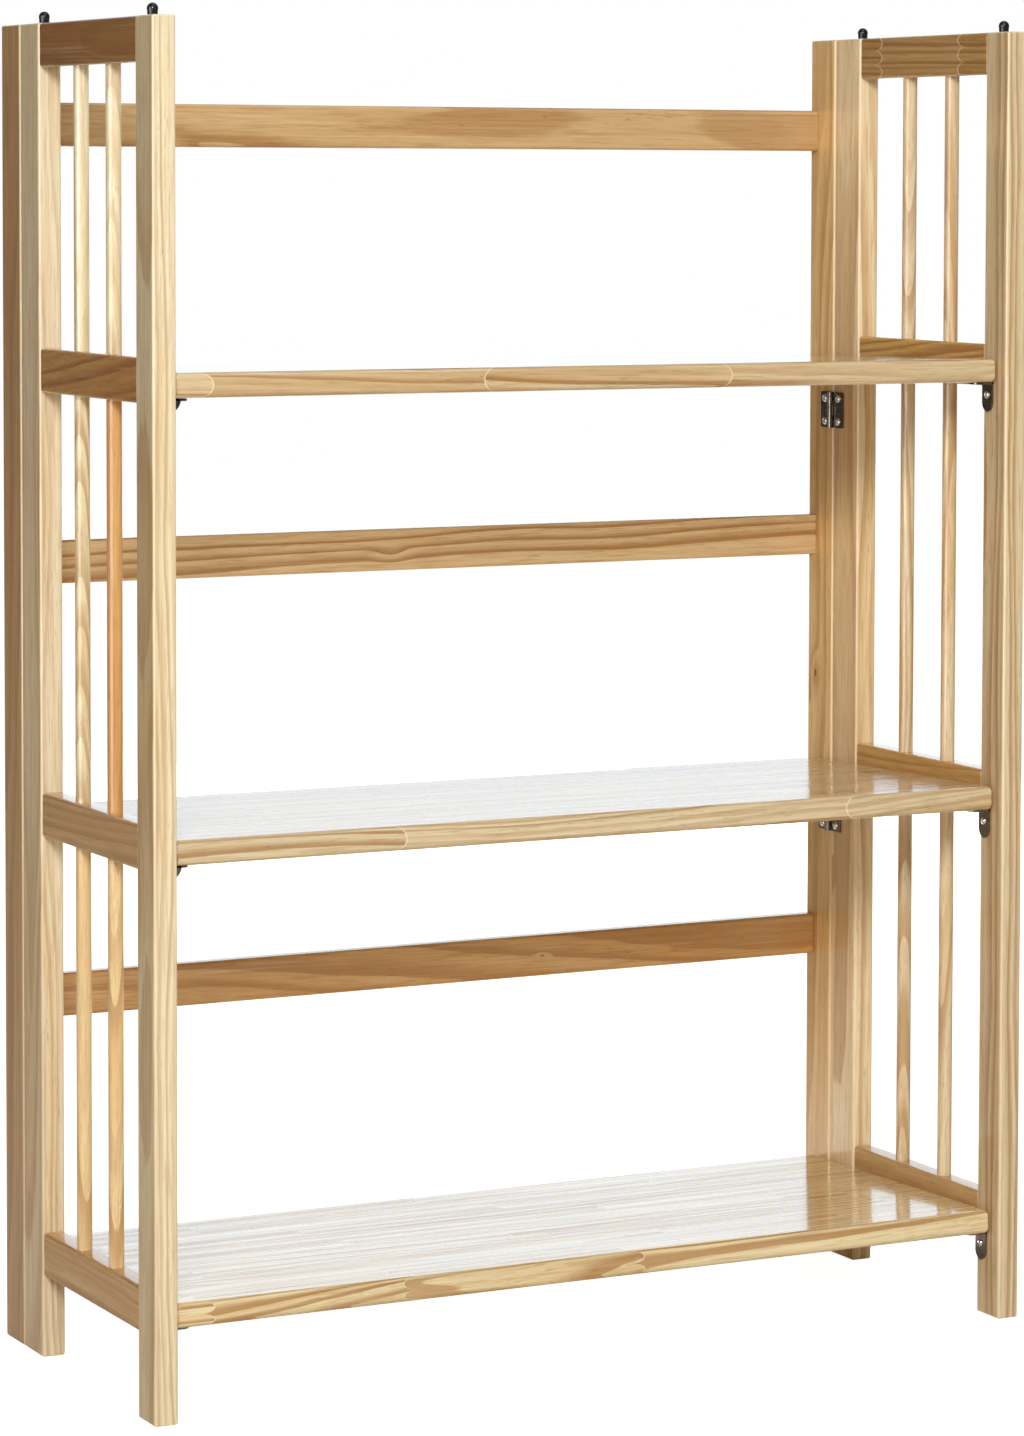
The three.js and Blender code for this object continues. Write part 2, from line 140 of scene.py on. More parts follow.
class StageSettings(bpy.types.PropertyGroup):
    """Camera, lamps and floor."""

    camera_place: FloatVectorProperty(
        name="Camera place", description="Where the camera stands", size=3, subtype="XYZ",
        unit="LENGTH", default=(-1.54623, -3.10102, 0.85614))
    heading: number("Heading", "Turn of the camera about Z", math.radians(-27.496), "ANGLE")
    pitch: number("Pitch", "Rise of the camera's aim", math.radians(-3.3195), "ANGLE")
    roll: number("Roll", "Turn about the camera's aim", math.radians(-0.1856), "ANGLE")
    lens: number("Lens", "Focal length in millimetres on a 36 mm long side", 117.765)
    shift_x: number("Shift X", "Sideways lens shift", -0.0613)
    shift_y: number("Shift Y", "Upward lens shift", -0.1866)
    key_power: number("Key power", "Power of the key softbox", 97, "POWER")
    panel_power: number(
        "Panel power", "Power of the side panel that only reflections see", 62, "POWER")
    rear_power: number("Rear power", "Power of the softbox on the backdrop", 9, "POWER")
    fill_power: number("Fill power", "Power of the fill softbox", 4, "POWER")
    top_power: number("Top power", "Power of the overhead softbox", 8, "POWER")
    corner_power: number(
        "Corner power", "Power of the softbox behind the right rear corner", 36, "POWER")
    ambient: number("Ambient", "Strength of the room's diffuse light", 0.18)
    ambient_colour: colour("Ambient colour", "Warm light of the room", (1, 0.82, 0.56))
    room_gloss: number("Room gloss", "What reflections see beside the white backdrop", 0.08)
    backdrop_colour: colour(
        "Backdrop colour", "The white backdrop as the varnish mirrors it", (0.87, 0.95, 1))
    backdrop: FloatVectorProperty(
        name="Backdrop", description="The way to the middle of the white backdrop", size=3,
        subtype="DIRECTION", default=(0.50, 0.86, 0.10))
    floor: colour("Floor", "Plain pale floor", (0.80, 0.75, 0.66))
    floor_glow: number(
        "Floor glow", "What the camera and reflections see added to the floor", 0.92)


class Nodes:
    """Fills a node tree: each call adds one node and returns its first or named output."""

    def __init__(self, tree):
        self.tree = tree

    def put(self, socket, value):
        if isinstance(value, bpy.types.NodeSocket):
            self.tree.links.new(value, socket)
        elif value is not None:
            socket.default_value = value

    def add(self, kind, inputs=None, **options):
        node = self.tree.nodes.new(kind)
        for option, value in options.items():
            setattr(node, option, value)
        for key, value in (inputs or {}).items():
            self.put(node.inputs[key], value)
        return node

    def math(self, operation, first, second=None, third=None):
        node = self.add("ShaderNodeMath", {0: first, 1: second, 2: third}, operation=operation)
        return node.outputs[0]

    def plus(self, first, second):
        return self.math("ADD", first, second)

    def minus(self, first, second):
        return self.math("SUBTRACT", first, second)

    def times(self, first, second):
        return self.math("MULTIPLY", first, second)

    def over(self, first, second):
        return self.math("DIVIDE", first, second)

    def times_plus(self, first, second, third):
        return self.math("MULTIPLY_ADD", first, second, third)

    def vector(self, operation, first, second=None):
        node = self.add("ShaderNodeVectorMath", {0: first, 1: second}, operation=operation)
        return node.outputs["Value" if operation in ("LENGTH", "DOT_PRODUCT") else "Vector"]

    def split(self, vector):
        return self.add("ShaderNodeSeparateXYZ", {0: vector}).outputs

    def join(self, x, y, z):
        return self.add("ShaderNodeCombineXYZ", {0: x, 1: y, 2: z}).outputs[0]

    def smooth(self, value, low, high, start=0.0, end=1.0):
        """Rises smoothly from start to end as value goes from low to high."""
        node = self.add(
            "ShaderNodeMapRange", {0: value, 1: low, 2: high, 3: start, 4: end},
            interpolation_type="SMOOTHSTEP")
        return node.outputs[0]

    def blend(self, share, first, second):
        node = self.add("ShaderNodeMix", {0: share, 2: first, 3: second}, data_type="FLOAT")
        return node.outputs[0]

    def blend_colour(self, share, first, second, mode="MIX"):
        node = self.add(
            "ShaderNodeMix", {0: share, 6: first, 7: second}, data_type="RGBA", blend_type=mode)
        return node.outputs[2]

    def multiply_colour(self, first, second):
        return self.blend_colour(1.0, first, second, "MULTIPLY")

    def noise(self, vector, scale=1.0, detail=2.0, roughness=0.5):
        node = self.add(
            "ShaderNodeTexNoise",
            {"Vector": vector, "Scale": scale, "Detail": detail, "Roughness": roughness})
        return node.outputs[0]

    def noise_along(self, value, scale):
        node = self.add(
            "ShaderNodeTexNoise", {"W": value, "Scale": scale, "Detail": 1.0},
            noise_dimensions="1D")
        return node.outputs[0]

    def chance(self, vector):
        """A fixed random value and colour for each distinct vector."""
        node = self.add("ShaderNodeTexWhiteNoise", {"Vector": vector}, noise_dimensions="3D")
        return node.outputs

    def attribute(self, name):
        return self.add("ShaderNodeAttribute", attribute_name=name).outputs["Vector"]

    def object_place(self):
        return self.add("ShaderNodeTexCoord").outputs["Object"]

    def group(self, tree, **inputs):
        named = {key.replace("_", " "): value for key, value in inputs.items()}
        return self.add("ShaderNodeGroup", named, node_tree=tree).outputs


SOCKETS = {
    "value": "NodeSocketFloat", "count": "NodeSocketInt", "vector": "NodeSocketVector",
    "colour": "NodeSocketColor", "mesh": "NodeSocketGeometry", "material": "NodeSocketMaterial",
}


def new_group(name, kind, inputs, outputs):
    """A node group with named sockets, and the nodes that read and write them."""
    tree = bpy.data.node_groups.new(name, kind)
    for in_out, sockets in (("INPUT", inputs), ("OUTPUT", outputs)):
        for socket_name, socket_kind, *default in sockets:
            socket = tree.interface.new_socket(
                name=socket_name, in_out=in_out, socket_type=SOCKETS[socket_kind])
            if default:
                socket.default_value = default[0]
    nodes = Nodes(tree)
    return tree, nodes, nodes.add("NodeGroupInput").outputs, nodes.add("NodeGroupOutput").inputs


def built_once(collection):
    """Names the data that a function builds after the function, and builds it only once."""
    def keep(build):
        name = build.__name__.replace("_", " ").title()
        return lambda: getattr(bpy.data, collection).get(name) or build(name)

    return keep


# The blocks behind the front stave, in metres: the shortest, how much longer the longest is, and
# how far the staves are shifted against each other
SHORTEST_BLOCK, BLOCK_GROWTH, STAVE_SHIFT = 0.24, 0.26, 7.31


@built_once("node_groups")
def glued_blocks(name):
    """Splits a board into its staves and finger-jointed blocks, with a random colour for each."""
    tree, n, given, result = new_group(
        name, "ShaderNodeTree",
        [("Grain", "vector"), ("Joints", "vector"), ("Seed", "value", 0.0),
         ("Stave Width", "value", 1.0), ("Fingers", "vector"), ("Line Width", "value", 0.0005)],
        [("Block", "colour"), ("Joint Line", "value"), ("Seam Line", "value")])
    u, v, w = n.split(given["Grain"])
    staves = n.plus(n.over(v, given["Stave Width"]), 0.5)
    stave = n.math("FLOOR", staves)
    half_pitch, phase, reach = n.split(given["Fingers"])
    folded = n.over(n.math("PINGPONG", n.plus(w, phase), half_pitch), half_pitch)
    bulge = n.times(n.math("SQRT", n.minus(1.0, n.times(folded, folded))), reach)

    def to_nearer_end(share, size):
        return n.times(n.math("MINIMUM", share, n.minus(1.0, share)), size)

    # The front stave has its joints where they are given, and their fingers bulge in turn
    front_block, front_gap = 0.0, FAR
    for joint, way in zip(n.split(given["Joints"]), (-1.0, 1.0, -1.0)):
        past = n.minus(n.times_plus(bulge, way, u), joint)
        front_block = n.plus(n.math("GREATER_THAN", past, 0.0), front_block)
        front_gap = n.math("MINIMUM", n.math("ABSOLUTE", past), front_gap)

    # The others have blocks of random length, all of one length in a stave
    luck = n.chance(n.join(stave, given["Seed"], 3.0))["Value"]
    block_length = n.times_plus(luck, BLOCK_GROWTH, SHORTEST_BLOCK)
    blocks = n.over(n.plus(u, n.times(luck, STAVE_SHIFT)), block_length)
    other_gap = to_nearer_end(n.math("FRACT", blocks), block_length)

    is_front = n.math("COMPARE", stave, 0.0, 0.25)
    block = n.blend(is_front, n.math("FLOOR", blocks), front_block)
    gap = n.blend(is_front, other_gap, front_gap)
    seam = to_nearer_end(n.math("FRACT", staves), given["Stave Width"])
    n.put(result["Block"], n.chance(n.join(block, stave, given["Seed"]))["Color"])
    n.put(result["Joint Line"], n.smooth(gap, given["Line Width"], 0.0))
    n.put(result["Seam Line"], n.smooth(seam, given["Line Width"], 0.0))
    return tree


# Noises drawn out along the grain: scale along and across the board, detail and roughness
GRAIN_NOISE = {
    "slow drift": (3.2, 16.0, 1.0, 0.5),
    "quick drift": (18.0, 120.0, 2.0, 0.5),
    "streak": (3.5, 330.0, 2.0, 0.6),
    "fibre": (26.0, 620.0, 2.0, 0.7),
    "sheen": (2.2, 120.0, 4.0, 0.6),
    "fleck": (110.0, 1300.0, 0.0, 0.5),
    "fleck field": (9.0, 80.0, 0.0, 0.5),
}
QUICK_SHARE = 0.07

# In sizes of the knot: the radius of its dark core, how far off the rings bend and by how much. All
# of it is longer along the board, by one over the squeeze.
KNOT_CORE, KNOT_REACH, KNOT_LIFT = 0.42, 3.4, 1.5
KNOT_SQUEEZE = 0.42
KNOT_BLUR = 0.3 * MM

# How ring widths vary with the distance from the heart, and how bands lie across the rings
RING_UNEVENNESS, RING_UNEVEN_SCALE = 2.2, 70.0
BAND_ALONG, BAND_ACROSS = 1.3, 0.45

# A block's own start along the tree, in metres, and its own slope of the grain
BLOCK_START, BLOCK_SLOPE = 3.0, 0.35

# Where in a ring its late wood comes and goes, and how strongly a ring shows by its luck
LATE_RISE, LATE_FALL, RING_VIGOUR = (0.28, 0.82), (1.0, 0.94), (0.0, 0.7, 0.12, 1.0)

# The values of a noise at which bands, flecks and the fields of flecks begin and are whole
BAND_EDGE, FLECK_EDGE, FLECK_FIELD_EDGE = (0.52, 0.62), (0.70, 0.79), (0.50, 0.60)


@built_once("node_groups")
def pine_figure(name):
    """Growth rings round the tree's heart, with bands, streaks, fibres, resin flecks and a knot."""
    tree, n, given, result = new_group(
        name, "ShaderNodeTree",
        [("Grain", "vector"), ("Heart", "vector"), ("Knot", "vector"), ("Block", "colour"),
         ("Block Spread", "value", 0.0), ("Ring Spacing", "value", 0.004),
         ("Wander", "value", 0.01), ("Seed", "value", 0.0)],
        [("Ring", "value"), ("Band", "value"), ("Streak", "value"), ("Fibre", "value"),
         ("Fleck", "value"), ("Sheen", "value"), ("Knot", "value")])
    board_u, board_v, board_w = n.split(given["Grain"])
    heart_v, heart_w, slope = n.split(given["Heart"])
    red, green, blue = n.split(given["Block"])

    def spread(share):
        return n.times(n.minus(share, 0.5), given["Block Spread"])

    u = n.plus(n.times_plus(blue, BLOCK_START, board_u), given["Seed"])
    slope = n.times_plus(spread(blue), BLOCK_SLOPE, slope)
    v = n.plus(n.minus(board_v, heart_v), spread(red))
    v = n.times_plus(slope, board_u, v)
    w = n.plus(n.minus(board_w, heart_w), spread(green))
    w = n.times_plus(slope, board_u, w)

    def grain_noise(kind):
        along, across, detail, roughness = GRAIN_NOISE[kind]
        place = n.join(n.times(u, along), n.times(v, across), n.times(w, across))
        return n.noise(place, detail=detail, roughness=roughness)

    knot_u, knot_w, knot_size = n.split(given["Knot"])
    from_knot = n.vector("LENGTH", n.join(
        n.times(n.minus(board_u, knot_u), KNOT_SQUEEZE), n.minus(board_w, knot_w), 0.0))
    knot_reach = n.times(n.math("ABSOLUTE", knot_size), KNOT_REACH)
    swell = n.smooth(from_knot, 0.0, n.plus(knot_reach, 1e-5), 1.0, 0.0)
    past_core = n.minus(from_knot, n.times(knot_size, KNOT_CORE))
    n.put(result["Knot"], n.times(
        n.smooth(past_core, KNOT_BLUR, -KNOT_BLUR), n.math("GREATER_THAN", knot_size, 0.0)))

    slow = n.minus(grain_noise("slow drift"), 0.5)
    quick = n.minus(grain_noise("quick drift"), 0.5)
    radius = n.vector("LENGTH", n.join(0.0, v, w))
    radius = n.times_plus(slow, given["Wander"], radius)
    radius = n.times_plus(quick, n.times(given["Wander"], QUICK_SHARE), radius)
    radius = n.times_plus(swell, n.times(knot_size, KNOT_LIFT), radius)
    rings = n.over(radius, given["Ring Spacing"])
    rings = n.times_plus(n.noise_along(radius, RING_UNEVEN_SCALE), RING_UNEVENNESS, rings)
    growth = n.math("FRACT", rings)
    late = n.times(n.smooth(growth, *LATE_RISE), n.smooth(growth, *LATE_FALL))
    vigour = n.chance(n.join(n.math("FLOOR", rings), given["Seed"], 1.0))["Value"]
    n.put(result["Ring"], n.times(late, n.smooth(vigour, *RING_VIGOUR)))

    band_place = n.join(n.times(u, BAND_ALONG), n.times(rings, BAND_ACROSS), given["Seed"])
    n.put(result["Band"], n.smooth(n.noise(band_place, detail=1.0), *BAND_EDGE))
    for kind in ("streak", "fibre", "sheen"):
        n.put(result[kind.title()], grain_noise(kind))
    n.put(result["Fleck"], n.times(
        n.smooth(grain_noise("fleck"), *FLECK_EDGE),
        n.smooth(grain_noise("fleck field"), *FLECK_FIELD_EDGE)))
    return tree


# What multiplies the early wood in warm streaks and in a dark tone, partly random and partly painted
# shade, and what covers it elsewhere, the pale tone partly random and partly a painted highlight
WARM, DARK_TONE_AND_SHADE = (0.84, 0.68, 0.50, 1), (0.60, 0.45, 0.27, 1)
PALE_STREAK, RESIN, KNOT = (1, 0.9, 0.66, 1), (0.15, 0.065, 0.025, 1), (0.26, 0.11, 0.045, 1)
JOINT_LINE, SEAM, PALE_TONE_AND_HIGHLIGHT = (1, 0.88, 0.62, 1), (0.34, 0.18, 0.08, 1), (1, 0.86, 0.60, 1)

# How much of a marking shows. Four numbers are two values of its noise, or of the tone, and the
# shares at the two.
WARM_SHARE, FIBRE_SHARE = (0.44, 0.68, 0.0, 0.42), (0.47, 0.68, 0.0, 0.42)
PALE_STREAK_SHARE, PALE_TONE_AND_HIGHLIGHT_SHARE = (0.44, 0.26, 0.0, 0.22), (0.0, 1.0, 0.0, 0.6)
DARKEST_TONE, FLECK_SHARE, LINE_SHARE, SEAM_SHARE = -1.0, 0.35, 0.95, 0.35
RING_RELIEF, STREAK_RELIEF, FIBRE_RELIEF = 0.4, 0.8, 0.4


@built_once("node_groups")
def pine_colour(name):
    """Turns the figure into the colour of the wood, with the tone of its board, which also carries painted shade
    and painted highlights.
    """
    tree, n, given, result = new_group(
        name, "ShaderNodeTree",
        [("Early", "colour"), ("Tint", "vector"), ("Late Share", "colour"), ("Ring", "value"),
         ("Band", "value"), ("Streak", "value"), ("Fibre", "value"), ("Fleck", "value"),
         ("Knot", "value"), ("Line", "value"), ("Seam", "value"), ("Tone", "value"),
         ("Ring Strength", "value", 0.5), ("Band Strength", "value", 0.5)],
        [("Colour", "colour"), ("Relief", "value")])
    streak, fibre, tone = given["Streak"], given["Fibre"], given["Tone"]
    early = n.multiply_colour(given["Early"], given["Tint"])
    late = n.multiply_colour(early, given["Late Share"])
    warm = n.multiply_colour(early, WARM)
    wood = early
    for share, marking in (
        (n.smooth(streak, *WARM_SHARE), warm),
        (n.times(given["Band"], given["Band Strength"]), warm),
        (n.times(given["Ring"], given["Ring Strength"]), late),
        (n.smooth(fibre, *FIBRE_SHARE), late),
        (n.smooth(streak, *PALE_STREAK_SHARE), PALE_STREAK),
        (n.times(given["Fleck"], FLECK_SHARE), RESIN),
        (given["Knot"], KNOT),
        (n.times(given["Line"], LINE_SHARE), JOINT_LINE),
        (n.times(given["Seam"], SEAM_SHARE), SEAM),
    ):
        wood = n.blend_colour(share, wood, marking)
    # The dark tone is partly random and partly painted shade; the pale tone is partly random and partly a painted
    # highlight
    dark_tone_and_shade = n.multiply_colour(wood, DARK_TONE_AND_SHADE)
    wood = n.blend_colour(n.smooth(tone, 0.0, DARKEST_TONE), wood, dark_tone_and_shade)
    wood = n.blend_colour(n.smooth(tone, *PALE_TONE_AND_HIGHLIGHT_SHARE), wood, PALE_TONE_AND_HIGHLIGHT)
    n.put(result["Colour"], wood)
    relief = n.times_plus(streak, STREAK_RELIEF, n.times(fibre, FIBRE_RELIEF))
    n.put(result["Relief"], n.times_plus(given["Ring"], RING_RELIEF, relief))
    return tree


# Smudges and rolling marks of handled steel: how fine they are, the values of its noise at which a
# smudge begins and is whole, what it does to colour and roughness, and how high they stand
SMUDGE_SCALE, MARK_SCALE, SMUDGE_EDGE = 260.0, 2600.0, (0.42, 0.68)
SMUDGE_TINT, SMUDGE_ROUGHNESS = (0.55, 0.50, 0.46, 1), 0.35
SMUDGE_RELIEF, MARK_RELIEF = 0.8, 0.2


@built_once("node_groups")
def handled_metal(name):
    """Faint smudges and rolling marks of plated steel."""
    tree, n, given, result = new_group(
        name, "ShaderNodeTree",
        [("Place", "vector"), ("Colour", "colour"), ("Roughness", "value", 0.2),
         ("Smudge", "value", 0.3)],
        [("Colour", "colour"), ("Roughness", "value"), ("Relief", "value")])
    cloud = n.noise(given["Place"], scale=SMUDGE_SCALE, detail=3.0, roughness=0.6)
    marks = n.noise(given["Place"], scale=MARK_SCALE)
    dull = n.times(n.smooth(cloud, *SMUDGE_EDGE), given["Smudge"])
    darker = n.multiply_colour(given["Colour"], SMUDGE_TINT)
    n.put(result["Colour"], n.blend_colour(dull, given["Colour"], darker))
    n.put(result["Roughness"], n.times_plus(dull, SMUDGE_ROUGHNESS, given["Roughness"]))
    n.put(result["Relief"], n.times_plus(cloud, SMUDGE_RELIEF, n.times(marks, MARK_RELIEF)))
    return tree


# The cosines of the angles to its middle at which the backdrop begins and is whole
BACKDROP_EDGE = (0.72, 0.93)


@built_once("node_groups")
def backdrop_share(name):
    """How much of the white backdrop lies in a direction."""
    tree, n, given, result = new_group(
        name, "ShaderNodeTree", [("Way", "vector"), ("Backdrop", "vector")], [("Share", "value")])
    way = n.vector("NORMALIZE", given["Way"])
    straight = n.vector("DOT_PRODUCT", way, n.vector("NORMALIZE", given["Backdrop"]))
    n.put(result["Share"], n.smooth(straight, *BACKDROP_EDGE))
    return tree


def new_material(name):
    material = bpy.data.materials.new(name)
    material.use_nodes = True
    material.node_tree.nodes.clear()
    nodes = Nodes(material.node_tree)
    shader = nodes.add("ShaderNodeBsdfPrincipled")
    nodes.add("ShaderNodeOutputMaterial", {"Surface": shader.outputs[0]})
    return material, nodes, shader.inputs


def bumped(nodes, height, distance):
    return nodes.add("ShaderNodeBump", {"Distance": distance, "Height": height}).outputs["Normal"]


PLAIN_VARNISH = {
    "block_spread": 0.0, "specular": 0.2, "roughness": (0.34, 0.50), "coat": (1.0, 1.0),
    "coat_roughness": 0.10, "coat_ior": 1.5, "sheen_relief": 0.0}
SHELF_VARNISH = {
    "block_spread": 0.11, "specular": 1.0, "roughness": (0.08, 0.20), "coat": (0.0, 0.1),
    "coat_roughness": 0.06, "coat_ior": 1.7, "sheen_relief": 2.6}

# Per finish: the early wood, and the varnish with the spread of its blocks
FINISHES = {
    "pale": ("pale", PLAIN_VARNISH),
    "straw": ("straw", PLAIN_VARNISH),
    "honey": ("honey", PLAIN_VARNISH),
    "amber": ("amber", PLAIN_VARNISH),
    "glued": ("straw", SHELF_VARNISH),
    "glued low": ("straw", {**SHELF_VARNISH, "coat": (0.1, 0.9)}),
}
GRAIN_RELIEF, PLATING_RELIEF, MOULD_RELIEF = 0.13 * MM, 0.02 * MM, 0.03 * MM
JOINT_LINE_WIDTH = 0.9 * MM
BLOCK_TONE = 0.7

# The values of streaks and of sheen between which a varnish goes from one end to the other
ROUGHENING, COATING = (0.35, 0.65), (0.38, 0.62)


def pine(finish):
    """Varnished pine that reads where it lies in its board from the piece's own attributes."""
    name = f"Varnished Pine {finish.title()}"
    if name in bpy.data.materials:
        return bpy.data.materials[name]
    settings = bpy.context.scene.bookcase_pine
    early, varnish = FINISHES[finish]
    material, n, shader = new_material(name)
    grain = n.attribute("grain")
    # The board's tone carries painted shade by facing and painted highlights on rounded edges
    seed, tone, stave = n.split(n.attribute("board"))
    ring_strength, band_strength, ring_spacing = n.split(n.attribute("figure"))
    blocks = n.group(
        glued_blocks(), Grain=grain, Joints=n.attribute("joints"), Seed=seed, Stave_Width=stave,
        Fingers=n.attribute("fingers"), Line_Width=JOINT_LINE_WIDTH)
    figure = n.group(
        pine_figure(), Grain=grain, Heart=n.attribute("heart"), Knot=n.attribute("knot"),
        Block=blocks["Block"], Block_Spread=varnish["block_spread"], Ring_Spacing=ring_spacing,
        Wander=settings.wander, Seed=seed)
    block_tone = n.times(n.minus(n.split(blocks["Block"])[0], 0.5), BLOCK_TONE)
    wood = n.group(
        pine_colour(), Early=(*getattr(settings, early), 1), Tint=n.attribute("tint"),
        Late_Share=(*settings.late_share, 1), Ring=figure["Ring"], Band=figure["Band"],
        Streak=figure["Streak"], Fibre=figure["Fibre"], Fleck=figure["Fleck"],
        Knot=figure["Knot"], Line=blocks["Joint Line"], Seam=blocks["Seam Line"],
        Tone=n.plus(tone, block_tone), Ring_Strength=ring_strength,
        Band_Strength=band_strength)
    n.put(shader["Base Color"], wood["Colour"])
    relief = wood["Relief"]
    if varnish["sheen_relief"]:
        relief = n.times_plus(figure["Sheen"], varnish["sheen_relief"], relief)
        n.put(shader["Roughness"], n.smooth(figure["Sheen"], *ROUGHENING, *varnish["roughness"]))
        n.put(shader["Coat Weight"], n.smooth(figure["Sheen"], *COATING, *varnish["coat"]))
    else:
        n.put(shader["Roughness"], n.smooth(figure["Streak"], *ROUGHENING, *varnish["roughness"]))
        n.put(shader["Coat Weight"], varnish["coat"][0])
    n.put(shader["Normal"], bumped(n, relief, GRAIN_RELIEF))
    n.put(shader["Specular IOR Level"], varnish["specular"])
    n.put(shader["Coat Roughness"], varnish["coat_roughness"])
    n.put(shader["Coat IOR"], varnish["coat_ior"])
    return material


def plated(name, tint, roughness, smudge):
    """Plated steel, dark or bright."""
    if name in bpy.data.materials:
        return bpy.data.materials[name]
    material, n, shader = new_material(name)
    metal = n.group(
        handled_metal(), Place=n.object_place(), Colour=(*tint, 1), Roughness=roughness,
        Smudge=smudge)
    n.put(shader["Base Color"], metal["Colour"])
    n.put(shader["Roughness"], metal["Roughness"])
    n.put(shader["Normal"], bumped(n, metal["Relief"], PLATING_RELIEF))
    n.put(shader["Metallic"], 1.0)
    return material


def nickel():
    return plated(
        "Dark Nickel", bpy.context.scene.bookcase_hardware.nickel, roughness=0.16, smudge=0.5)


def screw_steel():
    return plated(
        "Bright Screw Steel", bpy.context.scene.bookcase_hardware.screw_steel, roughness=0.14,
        smudge=0.3)


@built_once("materials")
def black_moulded_plastic(name):
    """Glossy moulded plastic with a faint mould texture."""
    material, n, shader = new_material(name)
    pebbles_per_metre, paleness = 1400.0, 2.2
    pebble = n.noise(n.object_place(), scale=pebbles_per_metre)
    tint = bpy.context.scene.bookcase_hardware.plastic
    paler = (*(paleness * part for part in tint), 1)
    paling, roughening, roughness = (0.35, 0.75), (0.3, 0.7), (0.12, 0.24)
    n.put(shader["Base Color"], n.blend_colour(n.smooth(pebble, *paling), (*tint, 1), paler))
    n.put(shader["Roughness"], n.smooth(pebble, *roughening, *roughness))
    n.put(shader["Normal"], bumped(n, pebble, MOULD_RELIEF))
    return material


def arc(centre, radius, start, end, steps):
    """Points on an arc, angles in quarter turns."""
    return [
        Vector(centre) + radius * Vector((math.cos(angle), math.sin(angle)))
        for angle in ((start + (end - start) * step / steps) * math.pi / 2
                      for step in range(steps + 1))]


def circle(radius, sides):
    return arc((0, 0), radius, 0, 4, sides)[:-1]


def rounded_rectangle(half_a, half_b, radius, steps):
    """Outline, anticlockwise. A side is drawn in spans, and more of them along b, which is the
    wider of the two in most boards."""
    corners = [
        arc((a * (half_a - radius), b * (half_b - radius)), radius, turn, turn + 1, steps)
        for turn, (a, b) in enumerate(((1, 1), (-1, 1), (-1, -1), (1, -1)))]
    outline = []
    for points, following, spans in zip(corners, corners[1:] + corners[:1], (2, 4, 2, 4)):
        outline += points
        outline += [points[-1].lerp(following[0], step / spans) for step in range(1, spans)]
    return outline


def inset(outline, distance):
    """The outline moved inwards by a small distance."""
    moved = []
    for before, point, after in zip(outline[-1:] + outline, outline, outline[1:] + outline[:1]):
        first = (point - before).normalized()
        second = (after - point).normalized()
        inward_first = Vector((-first.y, first.x))
        inward_second = Vector((-second.y, second.x))
        both = inward_first + inward_second
        moved.append(point + both * (distance / (1 + inward_first.dot(inward_second))))
    return moved


def placed(start, along, across, through):
    """Gives the place of a point of an outline, a and b in it, once it is drawn out by t."""
    start = Vector(start)
    return lambda a, b, t: start + across * a + through * b + along * t


class Shell:
    """Closed shells that make up one mesh."""

    def __init__(self):
        self.points, self.faces = [], []

    def loft(self, rings):
        """Skins rings of equal count and closes both ends."""
        count, base = len(rings[0]), len(self.points)
        for ring in rings:
            self.points += ring
        for level in range(len(rings) - 1):
            for i in range(count):
                j = (i + 1) % count
                low = base + level * count
                self.faces.append((low + i, low + j, low + count + j, low + count + i))
        last = base + (len(rings) - 1) * count
        self.faces.append(tuple(reversed(range(base, base + count))))
        self.faces.append(tuple(range(last, last + count)))
        return self

    def prism(self, outline, size, ease, steps, place, before=(), after=()):
        """An outline drawn out over size with its end edges rounded. before and after are further
        rings at the two ends."""
        turns = [step / steps * math.pi / 2 for step in range(steps + 1)]
        rounding = [(ease * (1 - math.cos(turn)), ease * (1 - math.sin(turn))) for turn in turns]
        rings = list(before)
        for distance, shrink in rounding:
            rings.append([place(p.x, p.y, distance) for p in inset(outline, shrink)])
        for distance, shrink in reversed(rounding):
            rings.append([place(p.x, p.y, size - distance) for p in inset(outline, shrink)])
        return self.loft(rings + list(after))

    def mesh(self, name):
        mesh = bpy.data.meshes.new(name)
        mesh.from_pydata([tuple(point) for point in self.points], [], self.faces)
        work = bmesh.new()
        work.from_mesh(mesh)
        bmesh.ops.recalc_face_normals(work, faces=work.faces)
        work.to_mesh(mesh)
        work.free()
        return mesh


# How far the largest part of a normal falls short of one in the middle of a rounded edge, where the painted
# highlight on the edge is whole
HIGHLIGHT_FULL_SLANT = 0.19


def lay_board(mesh, origin, along, across, through, board, painted_facing_shade, arris):
    """Writes where each point lies in its board, and the board's own values. Its tone also carries
    painted light: painted shade that leans towards dark or pale with the way that the surface
    faces, and a painted highlight that rises by arris on the rounded edges."""
    places = np.empty(len(mesh.vertices) * 3, np.float32)
    mesh.vertices.foreach_get("co", places)
    places = places.reshape(-1, 3) - np.array(origin, np.float32)
    values = {"grain": places @ np.array([along, across, through], np.float32).T}
    for name, value in board.items():
        values[name] = np.tile(np.array(value, np.float32), (len(places), 1))
    facing = np.empty(len(mesh.vertices) * 3, np.float32)
    mesh.vertex_normals.foreach_get("vector", facing)
    facing = facing.reshape(-1, 3)
    arris_highlight = np.clip((1 - np.abs(facing).max(axis=1)) / HIGHLIGHT_FULL_SLANT, 0, 1)
    # Painted light in the tone: painted shade by the way a face looks, and a painted highlight on rounded edges
    values["board"][:, 1] += facing @ np.array(painted_facing_shade, np.float32) + arris * arris_highlight
    for name, value in values.items():
        attribute = mesh.attributes.new(name, "FLOAT_VECTOR", "POINT")
        attribute.data.foreach_set("vector", np.ascontiguousarray(value, np.float32).ravel())
